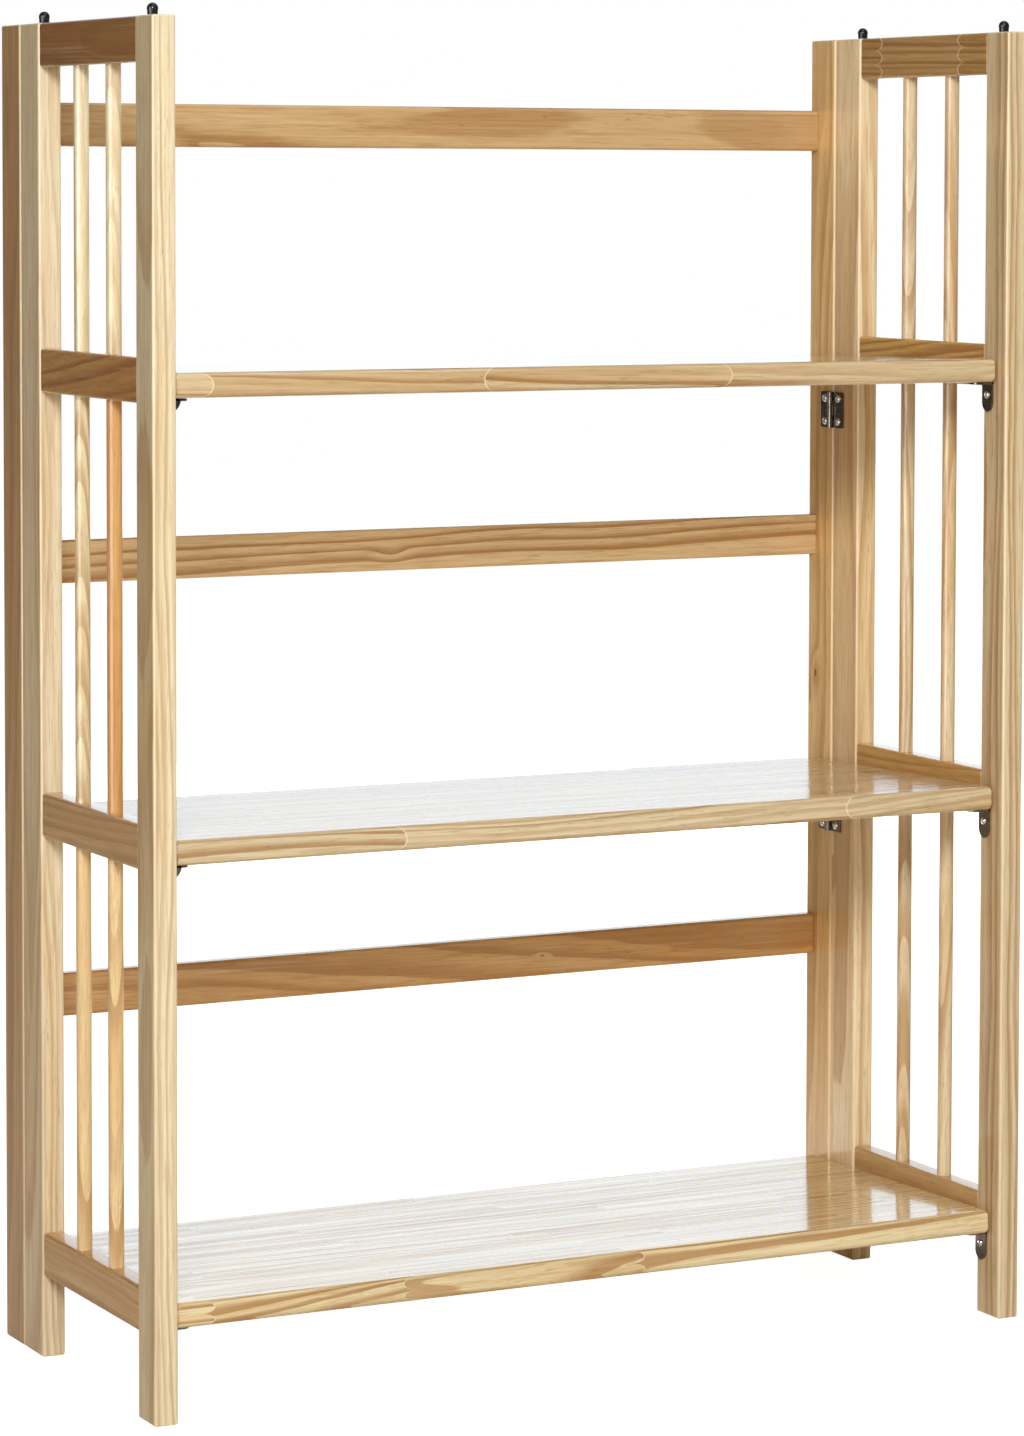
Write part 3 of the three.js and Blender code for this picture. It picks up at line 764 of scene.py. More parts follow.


# What each board looks like: its finish, seed and tint, how its tone, from -1 dark to 1 pale, leans
# with the way that a face looks as painted shade, where the tree's heart lay, at a turn in degrees
# from v towards w and a distance in millimetres, which change with the slope along the board, how
# strong the rings and bands are, and the spacing of the rings in millimetres. A knot is a place
# along u and w and a size in millimetres, and a negative size only bends the rings.
BOARDS = {
    # The left posts and the right front post have painted shade: darker on faces that look towards -X, paler on
    # faces that look towards +X
    "left_front_post": dict(
        finish="pale", tint=(1.05, 1.11, 1.15), painted_facing_shade=(0.62, 0, 0), turn=8, distance=52, rings=0.7,
        spacing=6, slope=0.004),
    "right_front_post": dict(
        finish="pale", seed=9, tint=(0.91, 0.9, 0.88), painted_facing_shade=(0.3, 0, 0), turn=28, distance=44,
        rings=0.75, spacing=5.6, slope=0.002),
    "left_rear_post": dict(
        finish="pale", tint=(1.11, 1.17, 1.26), painted_facing_shade=(0.5, 0, 0), turn=14, distance=46,
        rings=0.6, spacing=5.5),
    "right_rear_post": dict(
        finish="pale", seed=4, tint=(1.14, 1.12, 1.08), turn=10, distance=40, rings=0.7,
        spacing=4.8, slope=0.006, knot=(300, 30, -6)),
    "left_stile": dict(tint=(0.74, 0.62, 0.52), turn=20, distance=70, rings=0.5, spacing=5),
    "right_stile": dict(
        seed=7, tint=(1.32, 1.36, 1.36), turn=24, distance=56, rings=0.7, spacing=6.0,
        slope=0.012, knot=(462, 6, 3.2)),
    "left_side_rail_crown": dict(
        tint=(0.64, 0.48, 0.22), turn=12, distance=30, rings=0.5, bands=0.9, spacing=6),
    "left_side_rail_top": dict(
        tint=(0.88, 0.72, 0.44), turn=60, distance=60, rings=1.0, spacing=8, slope=0.07),
    "left_side_rail_middle": dict(
        tint=(0.84, 0.70, 0.48), turn=75, distance=60, rings=0.8, spacing=7),
    "left_side_rail_bottom": dict(
        tint=(1, 0.94, 0.8), turn=70, distance=60, rings=0.8, spacing=7),
    "right_side_rail_crown": dict(
        tint=(0.74, 0.66, 0.50), turn=65, distance=45, rings=1.0, spacing=5),
    "right_side_rail_top": dict(
        tint=(0.95, 0.84, 0.52), turn=80, distance=50, rings=0.9, spacing=6, slope=0.05),
    "right_side_rail_middle": dict(
        tint=(0.92, 0.80, 0.54), turn=80, distance=50, rings=0.8, spacing=6, slope=0.03),
    "back_rail_top": dict(
        finish="straw", seed=12, tint=(0.96, 0.98, 0.98), turn=2, distance=74, rings=0.9,
        bands=0.4, spacing=7, slope=0.004, knot=(-250, -26, -8)),
    "back_rail_middle": dict(
        finish="straw", seed=8, tint=(1.2, 1.32, 1.5), turn=82, distance=60, rings=1.0,
        bands=0.15, spacing=9, slope=-0.012, knot=(-42, -4, -3)),
    "back_rail_bottom": dict(
        finish="straw", seed=4, tint=(1.1, 1.04, 0.92), turn=16, distance=80, rings=0.7,
        bands=0.5, spacing=6, slope=0.018, knot=(88, 0, 1.4)),
    "left_spindle_top_1": dict(tint=(1.18, 1.3, 1.4)),
    "left_spindle_top_2": dict(tint=(1.18, 1.3, 1.4)),
    "left_spindle_middle_1": dict(finish="amber", rings=0.5, spacing=5),
    "left_spindle_bottom_1": dict(tint=(1.14, 1.04, 0.8)),
    "left_spindle_bottom_2": dict(tint=(1.14, 1.04, 0.8)),
    "shelf_bottom": dict(
        finish="glued low", seed=9, tint=(1.34, 1.68, 2.1), turn=84, rings=1.3, spacing=4.6,
        distance=48),
    "shelf_middle": dict(
        finish="glued", seed=4, tint=(1.1, 1.34, 1.76), turn=78, rings=0.9, spacing=4.6,
        distance=48),
    "shelf_top": dict(
        finish="glued", seed=5, tint=(1.1, 1.3, 1.65), turn=86, rings=1.3, spacing=5,
        distance=48),
}

# Where up to three finger joints of a board lie along it, in millimetres from its middle. Their
# fingers bulge forwards and backwards in turn.
FINGER_JOINTS = {
    "shelf_top": (-312, -84, 93),
    "shelf_middle": (-166, 213),
    "shelf_bottom": (-312, -146, 24),
    "right_side_rail_crown": (-62, 71),
}
NARROW_FINGERS = (5.5 * MM, 0.0)


def board_look(name):
    """What BOARDS says of a board, and for the rest what its name draws."""
    pick = random.Random(zlib.crc32(name.encode()))
    spindle = "spindle" in name
    # Posts and stiles get a painted highlight on their rounded edges, and a board has no painted shade by facing
    # unless BOARDS gives it
    look = dict(
        finish="pale" if spindle else "honey",
        tint=(1.12, 1.18, 1.16) if "left_spindle" in name else (1, 1, 1),
        tone=pick.uniform(-0.1, 0.1), painted_facing_shade=(0, 0, 0), turn=pick.uniform(0, 180),
        distance=pick.uniform(26, 48),
        rings=0.85 if spindle else 0.65, bands=0.55, spacing=pick.uniform(4.2, 6.2),
        slope=pick.choice((-1, 1)) * (pick.uniform(0.03, 0.07) if spindle else 0.012),
        knot=(0, 0, 0), arris=1.2 if name.endswith(("post", "stile")) else 0)
    look["seed"] = round(pick.uniform(0, 40), 3)
    look.update(BOARDS.get(name, {}))
    return look


def board_values(name, look, stave, fingers):
    """The values that a board's material reads. fingers is half the pitch of its finger joints and
    their offset."""
    turn = math.radians(look["turn"])
    distance = look["distance"] * MM
    joints = [place * MM for place in FINGER_JOINTS.get(name, ())]
    reach = bpy.context.scene.bookcase_pine.finger_length
    return {
        "heart": (distance * math.cos(turn), distance * math.sin(turn), look["slope"]),
        "knot": tuple(value * MM for value in look["knot"]),
        "joints": (*joints, FAR, FAR, FAR)[:3],
        "fingers": (*fingers, reach),
        "board": (look["seed"], look["tone"], stave),
        "figure": (look["rings"], look["bands"], look["spacing"] * MM),
        "tint": look["tint"],
    }


# Edges sharper than this stay sharp
CREASE = math.radians(38)


def stand_piece(name, mesh, body, material=None, nodes=()):
    """Turns a mesh into a piece that rides on its body and stands for CAD nodes."""
    piece = bpy.data.objects.new(name, mesh)
    bpy.context.scene.collection.objects.link(piece)
    if material is not None:
        mesh.materials.clear()
        mesh.materials.append(material)
    mesh.polygons.foreach_set("use_smooth", [True] * len(mesh.polygons))
    mesh.set_sharp_from_angle(angle=CREASE)
    normals = piece.modifiers.new("Flat faces stay flat", "WEIGHTED_NORMAL")
    normals.keep_sharp = True
    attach(piece, body)
    if nodes:
        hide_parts(*nodes)
    return piece


def stand_node(node, stuff, mesh, material):
    """A piece that stands for one CAD node, on the node's body."""
    return stand_piece(
        f"{stuff}_{node}", mesh, body_of_node[node], material, [node])


def stand_board(name, mesh, origin, along, across, through, stave=FAR, fingers=NARROW_FINGERS):
    """A wooden piece that stands for the CAD node of its own name."""
    look = board_look(name)
    board = board_values(name, look, stave, fingers)
    lay_board(mesh, origin, along, across, through, board, look["painted_facing_shade"], look["arris"])
    stand_node(name, "pine", mesh, pine(look["finish"]))


def node_box(name):
    """Lowest corner, highest corner and middle of a CAD node."""
    low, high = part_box(name)
    return low, high, (low + high) / 2


def apply_tree(name, tree, mesh=None, **values):
    """Runs a geometry node tree with named values and returns the plain mesh that it makes."""
    carrier = bpy.data.objects.new(name, mesh or bpy.data.meshes.new(name))
    bpy.context.scene.collection.objects.link(carrier)
    modifier = carrier.modifiers.new(name, "NODES")
    modifier.node_group = tree
    for item in tree.interface.items_tree:
        key = item.name.lower().replace(" ", "_")
        if item.in_out == "INPUT" and key in values:
            modifier[item.identifier] = values[key]
    evaluated = carrier.evaluated_get(bpy.context.evaluated_depsgraph_get())
    made = bpy.data.meshes.new_from_object(evaluated)
    carrier.modifiers.remove(modifier)
    bpy.data.objects.remove(carrier)
    made.name = name
    return made


# Width of a dowel's ends as a share of the rest
DOWEL_END_SHARE = 0.82


@built_once("node_groups")
def dowel(name):
    """A round dowel along Z with eased ends."""
    tree, n, given, result = new_group(
        name, "GeometryNodeTree",
        [("Length", "value", 0.3), ("Diameter", "value", 0.011), ("End Ease", "value", 0.004),
         ("Sides", "count", 40), ("Spans", "count", 80), ("Material", "material")],
        [("Mesh", "mesh")])
    half = n.times(given["Length"], 0.5)
    line = n.add("GeometryNodeCurvePrimitiveLine", {
        "Start": n.join(0.0, 0.0, n.times(half, -1.0)), "End": n.join(0.0, 0.0, half)})
    curve = n.add("GeometryNodeResampleCurve", {
        "Curve": line.outputs[0], "Count": given["Spans"]}).outputs[0]
    height = n.split(n.add("GeometryNodeInputPosition").outputs[0])[2]
    to_end = n.minus(half, n.math("ABSOLUTE", height))
    width = n.smooth(to_end, 0.0, given["End Ease"], DOWEL_END_SHARE, 1.0)
    curve = n.add("GeometryNodeSetCurveRadius", {"Curve": curve, "Radius": width}).outputs[0]
    profile = n.add("GeometryNodeCurvePrimitiveCircle", {
        "Resolution": given["Sides"], "Radius": n.times(given["Diameter"], 0.5)})
    rod = n.add("GeometryNodeCurveToMesh", {
        "Curve": curve, "Profile Curve": profile.outputs[0], "Fill Caps": True}).outputs[0]
    rod = n.add("GeometryNodeRealizeInstances", {0: rod}).outputs[0]
    n.put(result["Mesh"], n.add("GeometryNodeSetMaterial", {
        "Geometry": rod, "Material": given["Material"]}).outputs[0])
    return tree


# How square the dome of a head is, and how much of its recess's depth is lost at the rim
DOME_POWER, RECESS_TAPER = 3.2, 0.9
MERGE_DISTANCE = 1e-6


@built_once("node_groups")
def fastener_heads(name):
    """Domed heads with an optional cross recess, one on each point. A point's turn attribute aims
    the head's own X axis and spins its recess."""
    tree, n, given, result = new_group(
        name, "GeometryNodeTree",
        [("Points", "mesh"), ("Diameter", "value", 0.006), ("Height", "value", 0.0015),
         ("Recess Width", "value", 0.001), ("Recess Depth", "value", 0.0),
         ("Recess Reach", "value", 0.55), ("Cells", "count", 18), ("Material", "material")],
        [("Mesh", "mesh")])
    count = n.plus(given["Cells"], 1.0)
    grid = n.add("GeometryNodeMeshGrid", {
        "Size X": 2.0, "Size Y": 2.0, "Vertices X": count, "Vertices Y": count}).outputs[0]
    radius = n.times(given["Diameter"], 0.5)
    x, y, _ = n.split(n.add("GeometryNodeInputPosition").outputs[0])

    def onto_disc(first, second):
        square = n.times(n.times(second, second), 0.5)
        return n.times(first, n.math("SQRT", n.minus(1.0, square)))

    disc_x, disc_y = onto_disc(x, y), onto_disc(y, x)
    out = n.vector("LENGTH", n.join(disc_x, disc_y, 0.0))
    fall = n.minus(1.0, n.math("POWER", out, DOME_POWER))
    rise = n.math("SQRT", n.math("MAXIMUM", fall, 0.0))
    arm = n.over(n.times(given["Recess Width"], 0.5), radius)

    def inside(first, second):
        narrow = n.math("LESS_THAN", n.math("ABSOLUTE", first), arm)
        near = n.math("LESS_THAN", n.math("ABSOLUTE", second), given["Recess Reach"])
        return n.times(narrow, near)

    cross = n.math("MAXIMUM", inside(x, y), inside(y, x))
    taper = n.minus(1.0, n.times(out, RECESS_TAPER))
    sunk = n.times(n.times(cross, given["Recess Depth"]), taper)
    top = n.minus(n.times(rise, given["Height"]), sunk)
    flat_y, flat_z = n.times(disc_x, radius), n.times(disc_y, radius)
    upper, lower = (
        n.add("GeometryNodeSetPosition", {
            "Geometry": grid, "Position": n.join(height, flat_y, flat_z)}).outputs[0]
        for height in (top, 0.0))
    lower = n.add("GeometryNodeFlipFaces", {0: lower}).outputs[0]
    both = n.add("GeometryNodeJoinGeometry")
    for half in (lower, upper):
        n.put(both.inputs[0], half)
    head = n.add("GeometryNodeMergeByDistance", {
        "Geometry": both.outputs[0], "Distance": MERGE_DISTANCE}).outputs[0]
    turn = n.add("GeometryNodeInputNamedAttribute", {"Name": "turn"}, data_type="FLOAT_VECTOR")
    heads = n.add("GeometryNodeInstanceOnPoints", {
        "Points": given["Points"], "Instance": head,
        "Rotation": n.add("FunctionNodeEulerToRotation", {0: turn.outputs[0]}).outputs[0]})
    made = n.add("GeometryNodeRealizeInstances", {0: heads.outputs[0]}).outputs[0]
    n.put(result["Mesh"], n.add("GeometryNodeSetMaterial", {
        "Geometry": made, "Material": given["Material"]}).outputs[0])
    return tree


def set_heads(name, body, spots, **sizes):
    """One piece of fastener heads on a body. A spot is a point, the sign of X that the head faces
    and its spin."""
    points = bpy.data.meshes.new(name)
    points.from_pydata([tuple(point) for point, _, _ in spots], [], [])
    turns = points.attributes.new("turn", "FLOAT_VECTOR", "POINT")
    for value, (_, facing, spin) in zip(turns.data, spots):
        value.vector = (spin, 0, 0 if facing > 0 else math.pi)
    mesh = apply_tree(name, fastener_heads(), points, material=screw_steel(), **sizes)
    return stand_piece(name, mesh, body)


class BOOKCASE_OT_stage(bpy.types.Operator):
    """Makes the camera, the lamps, the room light and the floor"""

    bl_idname = "bookcase.stage"
    bl_label = "Stage"

    def execute(self, context):
        scene, settings = context.scene, context.scene.bookcase_stage
        scene.view_settings.view_transform = "Standard"
        self.camera(scene, settings)
        self.lamps(scene, settings)
        self.room(scene, settings)
        self.floor(scene, settings)
        return {"FINISHED"}

    def camera(self, scene, settings):
        data = bpy.data.cameras.new("Camera")
        data.sensor_fit, data.sensor_width = "AUTO", 36
        data.lens = settings.lens
        data.shift_x, data.shift_y = settings.shift_x, settings.shift_y
        data.clip_start, data.clip_end = 0.1, 60
        camera = bpy.data.objects.new("Camera", data)
        turn = (
            Matrix.Rotation(settings.heading, 4, "Z")
            @ Matrix.Rotation(settings.pitch, 4, "X")
            @ Matrix.Rotation(settings.roll, 4, "Y")
            @ Matrix.Rotation(math.pi / 2, 4, "X"))
        camera.matrix_world = Matrix.Translation(settings.camera_place) @ turn
        scene.collection.objects.link(camera)
        scene.camera = camera

    def lamps(self, scene, settings):
        white, cool, blue = (1, 1, 1), (0.97, 0.98, 1), (0.78, 0.89, 1)
        aim = Vector((0, 0, 0.5))

        # Name, power, colour, width and height, place and the rays that see it
        softboxes = (
            ("Key Softbox", settings.key_power, cool, (1.1, 1.1), (-1.8, -3.25, 2.25), "both"),
            ("Side Panel", settings.panel_power, white, (1.9, 2.2), (-2.6, -0.9, 0.8), "glossy"),
            ("Rear Softbox", settings.rear_power, blue, (4, 1.6), (1.3, 2.6, 1.1), "glossy"),
            ("Fill Softbox", settings.fill_power, cool, (0.9, 1.4), (-0.15, -1.7, 0.95), "diffuse"),
            ("Overhead Softbox", settings.top_power, white, (1.6, 1.6), (0.2, -0.4, 2.6), "both"),
            ("Corner Softbox", settings.corner_power, cool, (1.6, 1.2), (2.0, 2.6, 0.5), "diffuse"),
        )
        for name, power, tint, (width, height), place, rays in softboxes:
            data = bpy.data.lights.new(name, "AREA")
            data.shape, data.size, data.size_y, data.energy = "RECTANGLE", width, height, power
            data.color = tint
            lamp = bpy.data.objects.new(name, data)
            lamp.visible_camera = False
            lamp.visible_glossy = rays != "diffuse"
            lamp.visible_diffuse = rays != "glossy"
            turn = (aim - Vector(place)).to_track_quat("-Z", "Y")
            lamp.matrix_world = Matrix.Translation(place) @ turn.to_matrix().to_4x4()
            scene.collection.objects.link(lamp)

    def room(self, scene, settings):
        world = bpy.data.worlds.new("White Room")
        world.use_nodes = True
        world.node_tree.nodes.clear()
        n = Nodes(world.node_tree)
        path = n.add("ShaderNodeLightPath").outputs
        way = n.add("ShaderNodeTexCoord").outputs["Generated"]
        backdrop = n.group(backdrop_share(), Way=way, Backdrop=settings.backdrop)["Share"]
        gloss = n.blend(backdrop, settings.room_gloss, 1.0)
        strength = n.blend(path["Is Diffuse Ray"], gloss, settings.ambient)
        strength = n.blend(path["Is Camera Ray"], strength, 1.0)
        colour = n.blend_colour(
            path["Is Glossy Ray"], (1, 1, 1, 1), (*settings.backdrop_colour, 1))
        colour = n.blend_colour(
            path["Is Diffuse Ray"], colour, (*settings.ambient_colour, 1))
        light = n.add("ShaderNodeBackground", {"Color": colour, "Strength": strength})
        n.add("ShaderNodeOutputWorld", {"Surface": light.outputs[0]})
        scene.world = world

    def floor(self, scene, settings):
        material, n, shader = new_material("Pale Floor")
        path = n.add("ShaderNodeLightPath").outputs
        backdrop = n.group(
            backdrop_share(), Way=n.object_place(), Backdrop=settings.backdrop)["Share"]
        seen = n.math(
            "MAXIMUM", n.times(path["Is Glossy Ray"], backdrop), path["Is Camera Ray"])
        n.put(shader["Base Color"], (*settings.floor, 1))
        n.put(shader["Roughness"], 0.9)
        n.put(shader["Specular IOR Level"], 0.0)
        n.put(shader["Emission Color"], (1, 1, 1, 1))
        n.put(shader["Emission Strength"], n.times(seen, settings.floor_glow))
        reach = 9.0
        mesh = bpy.data.meshes.new("Floor")
        corners = [(-reach, -reach, 0), (reach, -reach, 0), (reach, reach, 0), (-reach, reach, 0)]
        mesh.from_pydata(corners, [], [(0, 1, 2, 3)])
        mesh.materials.append(material)
        floor = bpy.data.objects.new("Floor", mesh)
        scene.collection.objects.link(floor)


def saw_board(name, outline, size, ease, start, origin, axes, ends=((), ()), **glued):
    """Stands a board whose outline is drawn out along it over size. axes are its own: along,
    across and through it. Its wood is measured from origin."""
    steps = bpy.context.scene.bookcase_pine.edge_steps
    shell = Shell().prism(outline, size, ease, steps, placed(start, *axes), *ends)
    stand_board(name, shell.mesh(name), origin, *axes, **glued)


class BOOKCASE_OT_uprights(bpy.types.Operator):
    """Makes the four posts, with the bores of their stacking pins, and the two stiles"""

    bl_idname = "bookcase.uprights"
    bl_label = "Posts and Stiles"

    def execute(self, context):
        for side, _ in SIDES:
            self.upright(f"{side}_front_post", f"{side}_front_stacking_pin")
            self.upright(f"{side}_rear_post", f"{side}_rear_stacking_pin")
            self.upright(f"{side}_stile")
        return {"FINISHED"}

    def upright(self, name, pin=None):
        settings = bpy.context.scene.bookcase_pine
        low, high, middle = node_box(name)
        half = (high - low) / 2
        foot = Vector((middle.x, middle.y, 0))
        outline = rounded_rectangle(half.x, half.y, settings.arris, settings.edge_steps)
        edge = [
            foot + Vector((point.x, point.y, 0))
            for point in inset(outline, settings.post_end_ease)]
        saw_board(
            name, outline, high.z, settings.post_end_ease, foot, foot, (AXIS_Z, AXIS_X, AXIS_Y),
            self.bores(pin, edge, high.z) if pin else ((), ()))

    def bores(self, pin, edge, top):
        """The rings of a post's bores at its foot and at its top."""
        pin_low, pin_high, pin_middle = node_box(pin)
        axis = Vector((pin_middle.x, pin_middle.y, 0))
        ways = [(point - axis).normalized() for point in edge]
        clearance, chamfer, tip_share = 0.3 * MM, 0.4 * MM, 0.1
        radius = (pin_high.x - pin_low.x) / 2 + clearance
        depth = top - pin_low.z + clearance
        profile = (
            (tip_share * radius, depth), (radius, depth), (radius, chamfer), (radius + chamfer, 0))

        def ring(size, z):
            return [axis + AXIS_Z * z + size * way for way in ways]

        return (
            [ring(size, z) for size, z in profile],
            [ring(size, top - z) for size, z in reversed(profile)])


class BOOKCASE_OT_side_rails(bpy.types.Operator):
    """Makes the four rails of each side frame"""

    bl_idname = "bookcase.side_rails"
    bl_label = "Side Rails"

    def execute(self, context):
        settings = context.scene.bookcase_pine
        for side, _ in SIDES:
            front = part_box(f"{side}_front_post")[1].y
            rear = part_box(f"{side}_rear_post")[0].y
            for level in (*LEVELS, "crown"):
                name = f"{side}_side_rail_{level}"
                low, high, middle = node_box(name)
                half = (high - low) / 2
                saw_board(
                    name, rounded_rectangle(half.x, half.z, settings.arris, settings.edge_steps),
                    rear - front, settings.rail_end_ease, (middle.x, front, middle.z),
                    (middle.x, (front + rear) / 2, middle.z), (AXIS_Y, AXIS_X, AXIS_Z))
        return {"FINISHED"}


class BOOKCASE_OT_spindles(bpy.types.Operator):
    """Makes the six spindles of each side frame"""

    bl_idname = "bookcase.spindles"
    bl_label = "Spindles"

    def execute(self, context):
        for side, _, level in SIDE_LEVELS:
            for index in (1, 2):
                name = f"{side}_spindle_{level}_{index}"
                low, high, middle = node_box(name)
                mesh = apply_tree(
                    name, dowel(), length=high.z - low.z, diameter=high.y - low.y,
                    material=pine(board_look(name)["finish"]))
                mesh.transform(Matrix.Translation(middle))
                stand_board(name, mesh, middle, AXIS_Z, AXIS_X, AXIS_Y)
        return {"FINISHED"}


class BOOKCASE_OT_back_rails(bpy.types.Operator):
    """Makes the three rails of the back frame"""

    bl_idname = "bookcase.back_rails"
    bl_label = "Back Rails"

    def execute(self, context):
        settings = context.scene.bookcase_pine
        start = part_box("left_stile")[1].x
        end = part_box("right_stile")[0].x
        for level in LEVELS:
            name = f"back_rail_{level}"
            low, high, middle = node_box(name)
            half = (high - low) / 2
            saw_board(
                name, rounded_rectangle(half.y, half.z, settings.arris, settings.edge_steps),
                end - start, settings.rail_end_ease, (start, middle.y, middle.z), middle,
                (AXIS_X, AXIS_Y, AXIS_Z))
        return {"FINISHED"}


# Where extra points lie on the top and underside of a shelf, from its pivot to its nose, and how
# much narrower than the others its front stave is
FLAT_SHARES = (0.25, 0.5, 0.75)
FRONT_STAVE_TRIM = 2 * MM


class BOOKCASE_OT_shelves(bpy.types.Operator):
    """Makes the three glued-up shelves, which rise a little from their pivots to their fronts"""

    bl_idname = "bookcase.shelves"
    bl_label = "Shelves"

    def execute(self, context):
        settings = context.scene.bookcase_pine
        steps, nose = settings.edge_steps, settings.nose
        for level in LEVELS:
            name = f"shelf_{level}"
            pivot = joint_place[f"{level}_shelf_lift"]
            mesh = frame["nodes"][name].data
            largest = max(mesh.polygons, key=lambda face: face.area).normal
            tilt = math.atan(largest.y / largest.z)
            rear = Vector((0, math.cos(tilt), -math.sin(tilt)))
            up = Vector((0, math.sin(tilt), math.cos(tilt)))
            places = [vertex.co - pivot for vertex in mesh.vertices]
            half = max(place.dot(up) for place in places)
            reach = max(-place.dot(rear) for place in places)
            half_length = max(place.x for place in places)
            front = nose - reach
            outline = (
                arc((0, 0), half, -1, 1, 4 * steps)
                + [Vector((share * front, half)) for share in FLAT_SHARES]
                + arc((front, half - nose), nose, 1, 2, steps + 1)
                + arc((front, nose - half), nose, 2, 3, steps + 1)
                + [Vector((share * front, -half)) for share in reversed(FLAT_SHARES)])
            saw_board(
                name, outline, 2 * half_length, settings.shelf_end_ease,
                pivot - AXIS_X * half_length,
                pivot - rear * (reach - settings.stave_width / 2 + FRONT_STAVE_TRIM),
                (AXIS_X, rear, up), stave=settings.stave_width,
                fingers=(half / 2, half / 2) if level == "bottom" else (half, 0.0))
        return {"FINISHED"}


class BOOKCASE_OT_pivot_pins(bpy.types.Operator):
    """Makes the steel pins that the shelves turn on"""

    bl_idname = "bookcase.pivot_pins"
    bl_label = "Shelf Pivot Pins"

    def execute(self, context):
        sides, ease = 32, 0.4 * MM
        for side, _, level in SIDE_LEVELS:
            name = f"{side}_pivot_pin_{level}"
            low, high, middle = node_box(name)
            shell = Shell().prism(
                circle((high.z - low.z) / 2, sides), high.x - low.x, ease, 3,
                placed((low.x, middle.y, middle.z), AXIS_X, AXIS_Y, AXIS_Z))
            stand_node(name, "steel", shell.mesh(name), nickel())
        return {"FINISHED"}


class BOOKCASE_OT_hinges(bpy.types.Operator):
    """Makes the two leaves of each butt hinge, with their knuckles and the pin"""

    bl_idname = "bookcase.hinges"
    bl_label = "Butt Hinges"

    def execute(self, context):
        for side, sign, level in SIDE_LEVELS:
            axis = joint_place[f"{side}_side_fold"]
            self.leaf(f"{side}_hinge_stile_leaf_{level}", sign, axis, 1, (0, 2))
            self.leaf(f"{side}_hinge_post_leaf_{level}", sign, axis, -1, (1,))
        return {"FINISHED"}

    def leaf(self, name, sign, axis, reach, own_knuckles):
        ease = bpy.context.scene.bookcase_hardware.plate_ease
        low, high, middle = node_box(name)
        height = high.z - low.z
        width = high.y - axis.y if reach > 0 else axis.y - low.y
        knuckle = height / 3
        gap, seat, room = 0.15 * MM, 0.25 * MM, KNUCKLE_RADIUS + 0.3 * MM
        corner, pin_radius, pin_ease = 1.2 * MM, 1.2 * MM, 0.15 * MM

        # The plate, by distance from the axis and height, with room for the other leaf's knuckles
        outline = []
        for index in (2, 1, 0):
            edge, trim = (seat, -gap) if index in own_knuckles else (room, gap)
            top = height / 2 if index == 2 else (index + 1) * knuckle - height / 2 + trim
            bottom = -height / 2 if index == 0 else index * knuckle - height / 2 - trim
            outline += [Vector((edge, top)), Vector((edge, bottom))]
        outline += arc((width - corner, corner - height / 2), corner, -1, 0, 4)
        outline += arc((width - corner, height / 2 - corner), corner, 0, 1, 4)
        shell = Shell().prism(outline, LEAF_THICKNESS, ease, 2, placed(
            (axis.x + sign * KNUCKLE_RADIUS, axis.y, middle.z),
            AXIS_X * -sign, AXIS_Y * reach, AXIS_Z))

        def turn_part(radius, sides, base, size, ease):
            shell.prism(circle(radius, sides), size, ease, 2, placed(
                (axis.x, axis.y, low.z + base), AXIS_Z, AXIS_X, AXIS_Y))

        for index in own_knuckles:
            turn_part(KNUCKLE_RADIUS, 36, index * knuckle + gap, knuckle - 2 * gap, ease)
        if reach > 0:
            turn_part(pin_radius, 20, 0, height, pin_ease)
        stand_node(name, "nickel", shell.mesh(name), nickel())


class BOOKCASE_OT_brackets(bpy.types.Operator):
    """Makes the brackets on the front posts that carry the shelves"""

    bl_idname = "bookcase.brackets"
    bl_label = "Shelf Brackets"

    def execute(self, context):
        for side, sign, level in SIDE_LEVELS:
            webbed = side == "left" and level != "bottom"
            self.bracket(f"{side}_shelf_bracket_{level}", sign, webbed)
        return {"FINISHED"}

    def bracket(self, name, sign, webbed):
        ease = bpy.context.scene.bookcase_hardware.plate_ease
        low, high, middle = node_box(name)
        half, reach, drop = (high.y - low.y) / 2, high.x - low.x, high.z - low.z
        wall = high.x if sign > 0 else low.x
        inwards = AXIS_X * -sign
        root = (wall, middle.y, high.z)
        corner, web_drop, web_share = 5 * MM, 10 * MM, 0.62
        plate = [Vector((half, 0)), Vector((-half, 0))] + arc((0, half - drop), half, 2, 4, 16)
        leg = (
            [Vector((half, 0))]
            + arc((half - corner, reach - corner), corner, 0, 1, 6)
            + arc((corner - half, reach - corner), corner, 1, 2, 6)
            + [Vector((-half, 0))])
        shell = Shell()
        shell.prism(plate, BRACKET_THICKNESS, ease, 2, placed(root, inwards, AXIS_Y, AXIS_Z))
        shell.prism(leg, BRACKET_THICKNESS, ease, 2, placed(root, -AXIS_Z, AXIS_Y, inwards))
        if webbed:
            web = [
                Vector((web_share * reach * point.x, -web_drop * point.y))
                for point in arc((0, 0), 1, 1, 0, 10)] + [Vector((0, 0))]
            shell.prism(web, BRACKET_THICKNESS, ease, 2, placed(
                (wall, low.y, high.z), AXIS_Y, inwards, AXIS_Z))
        stand_node(name, "nickel", shell.mesh(name), nickel())


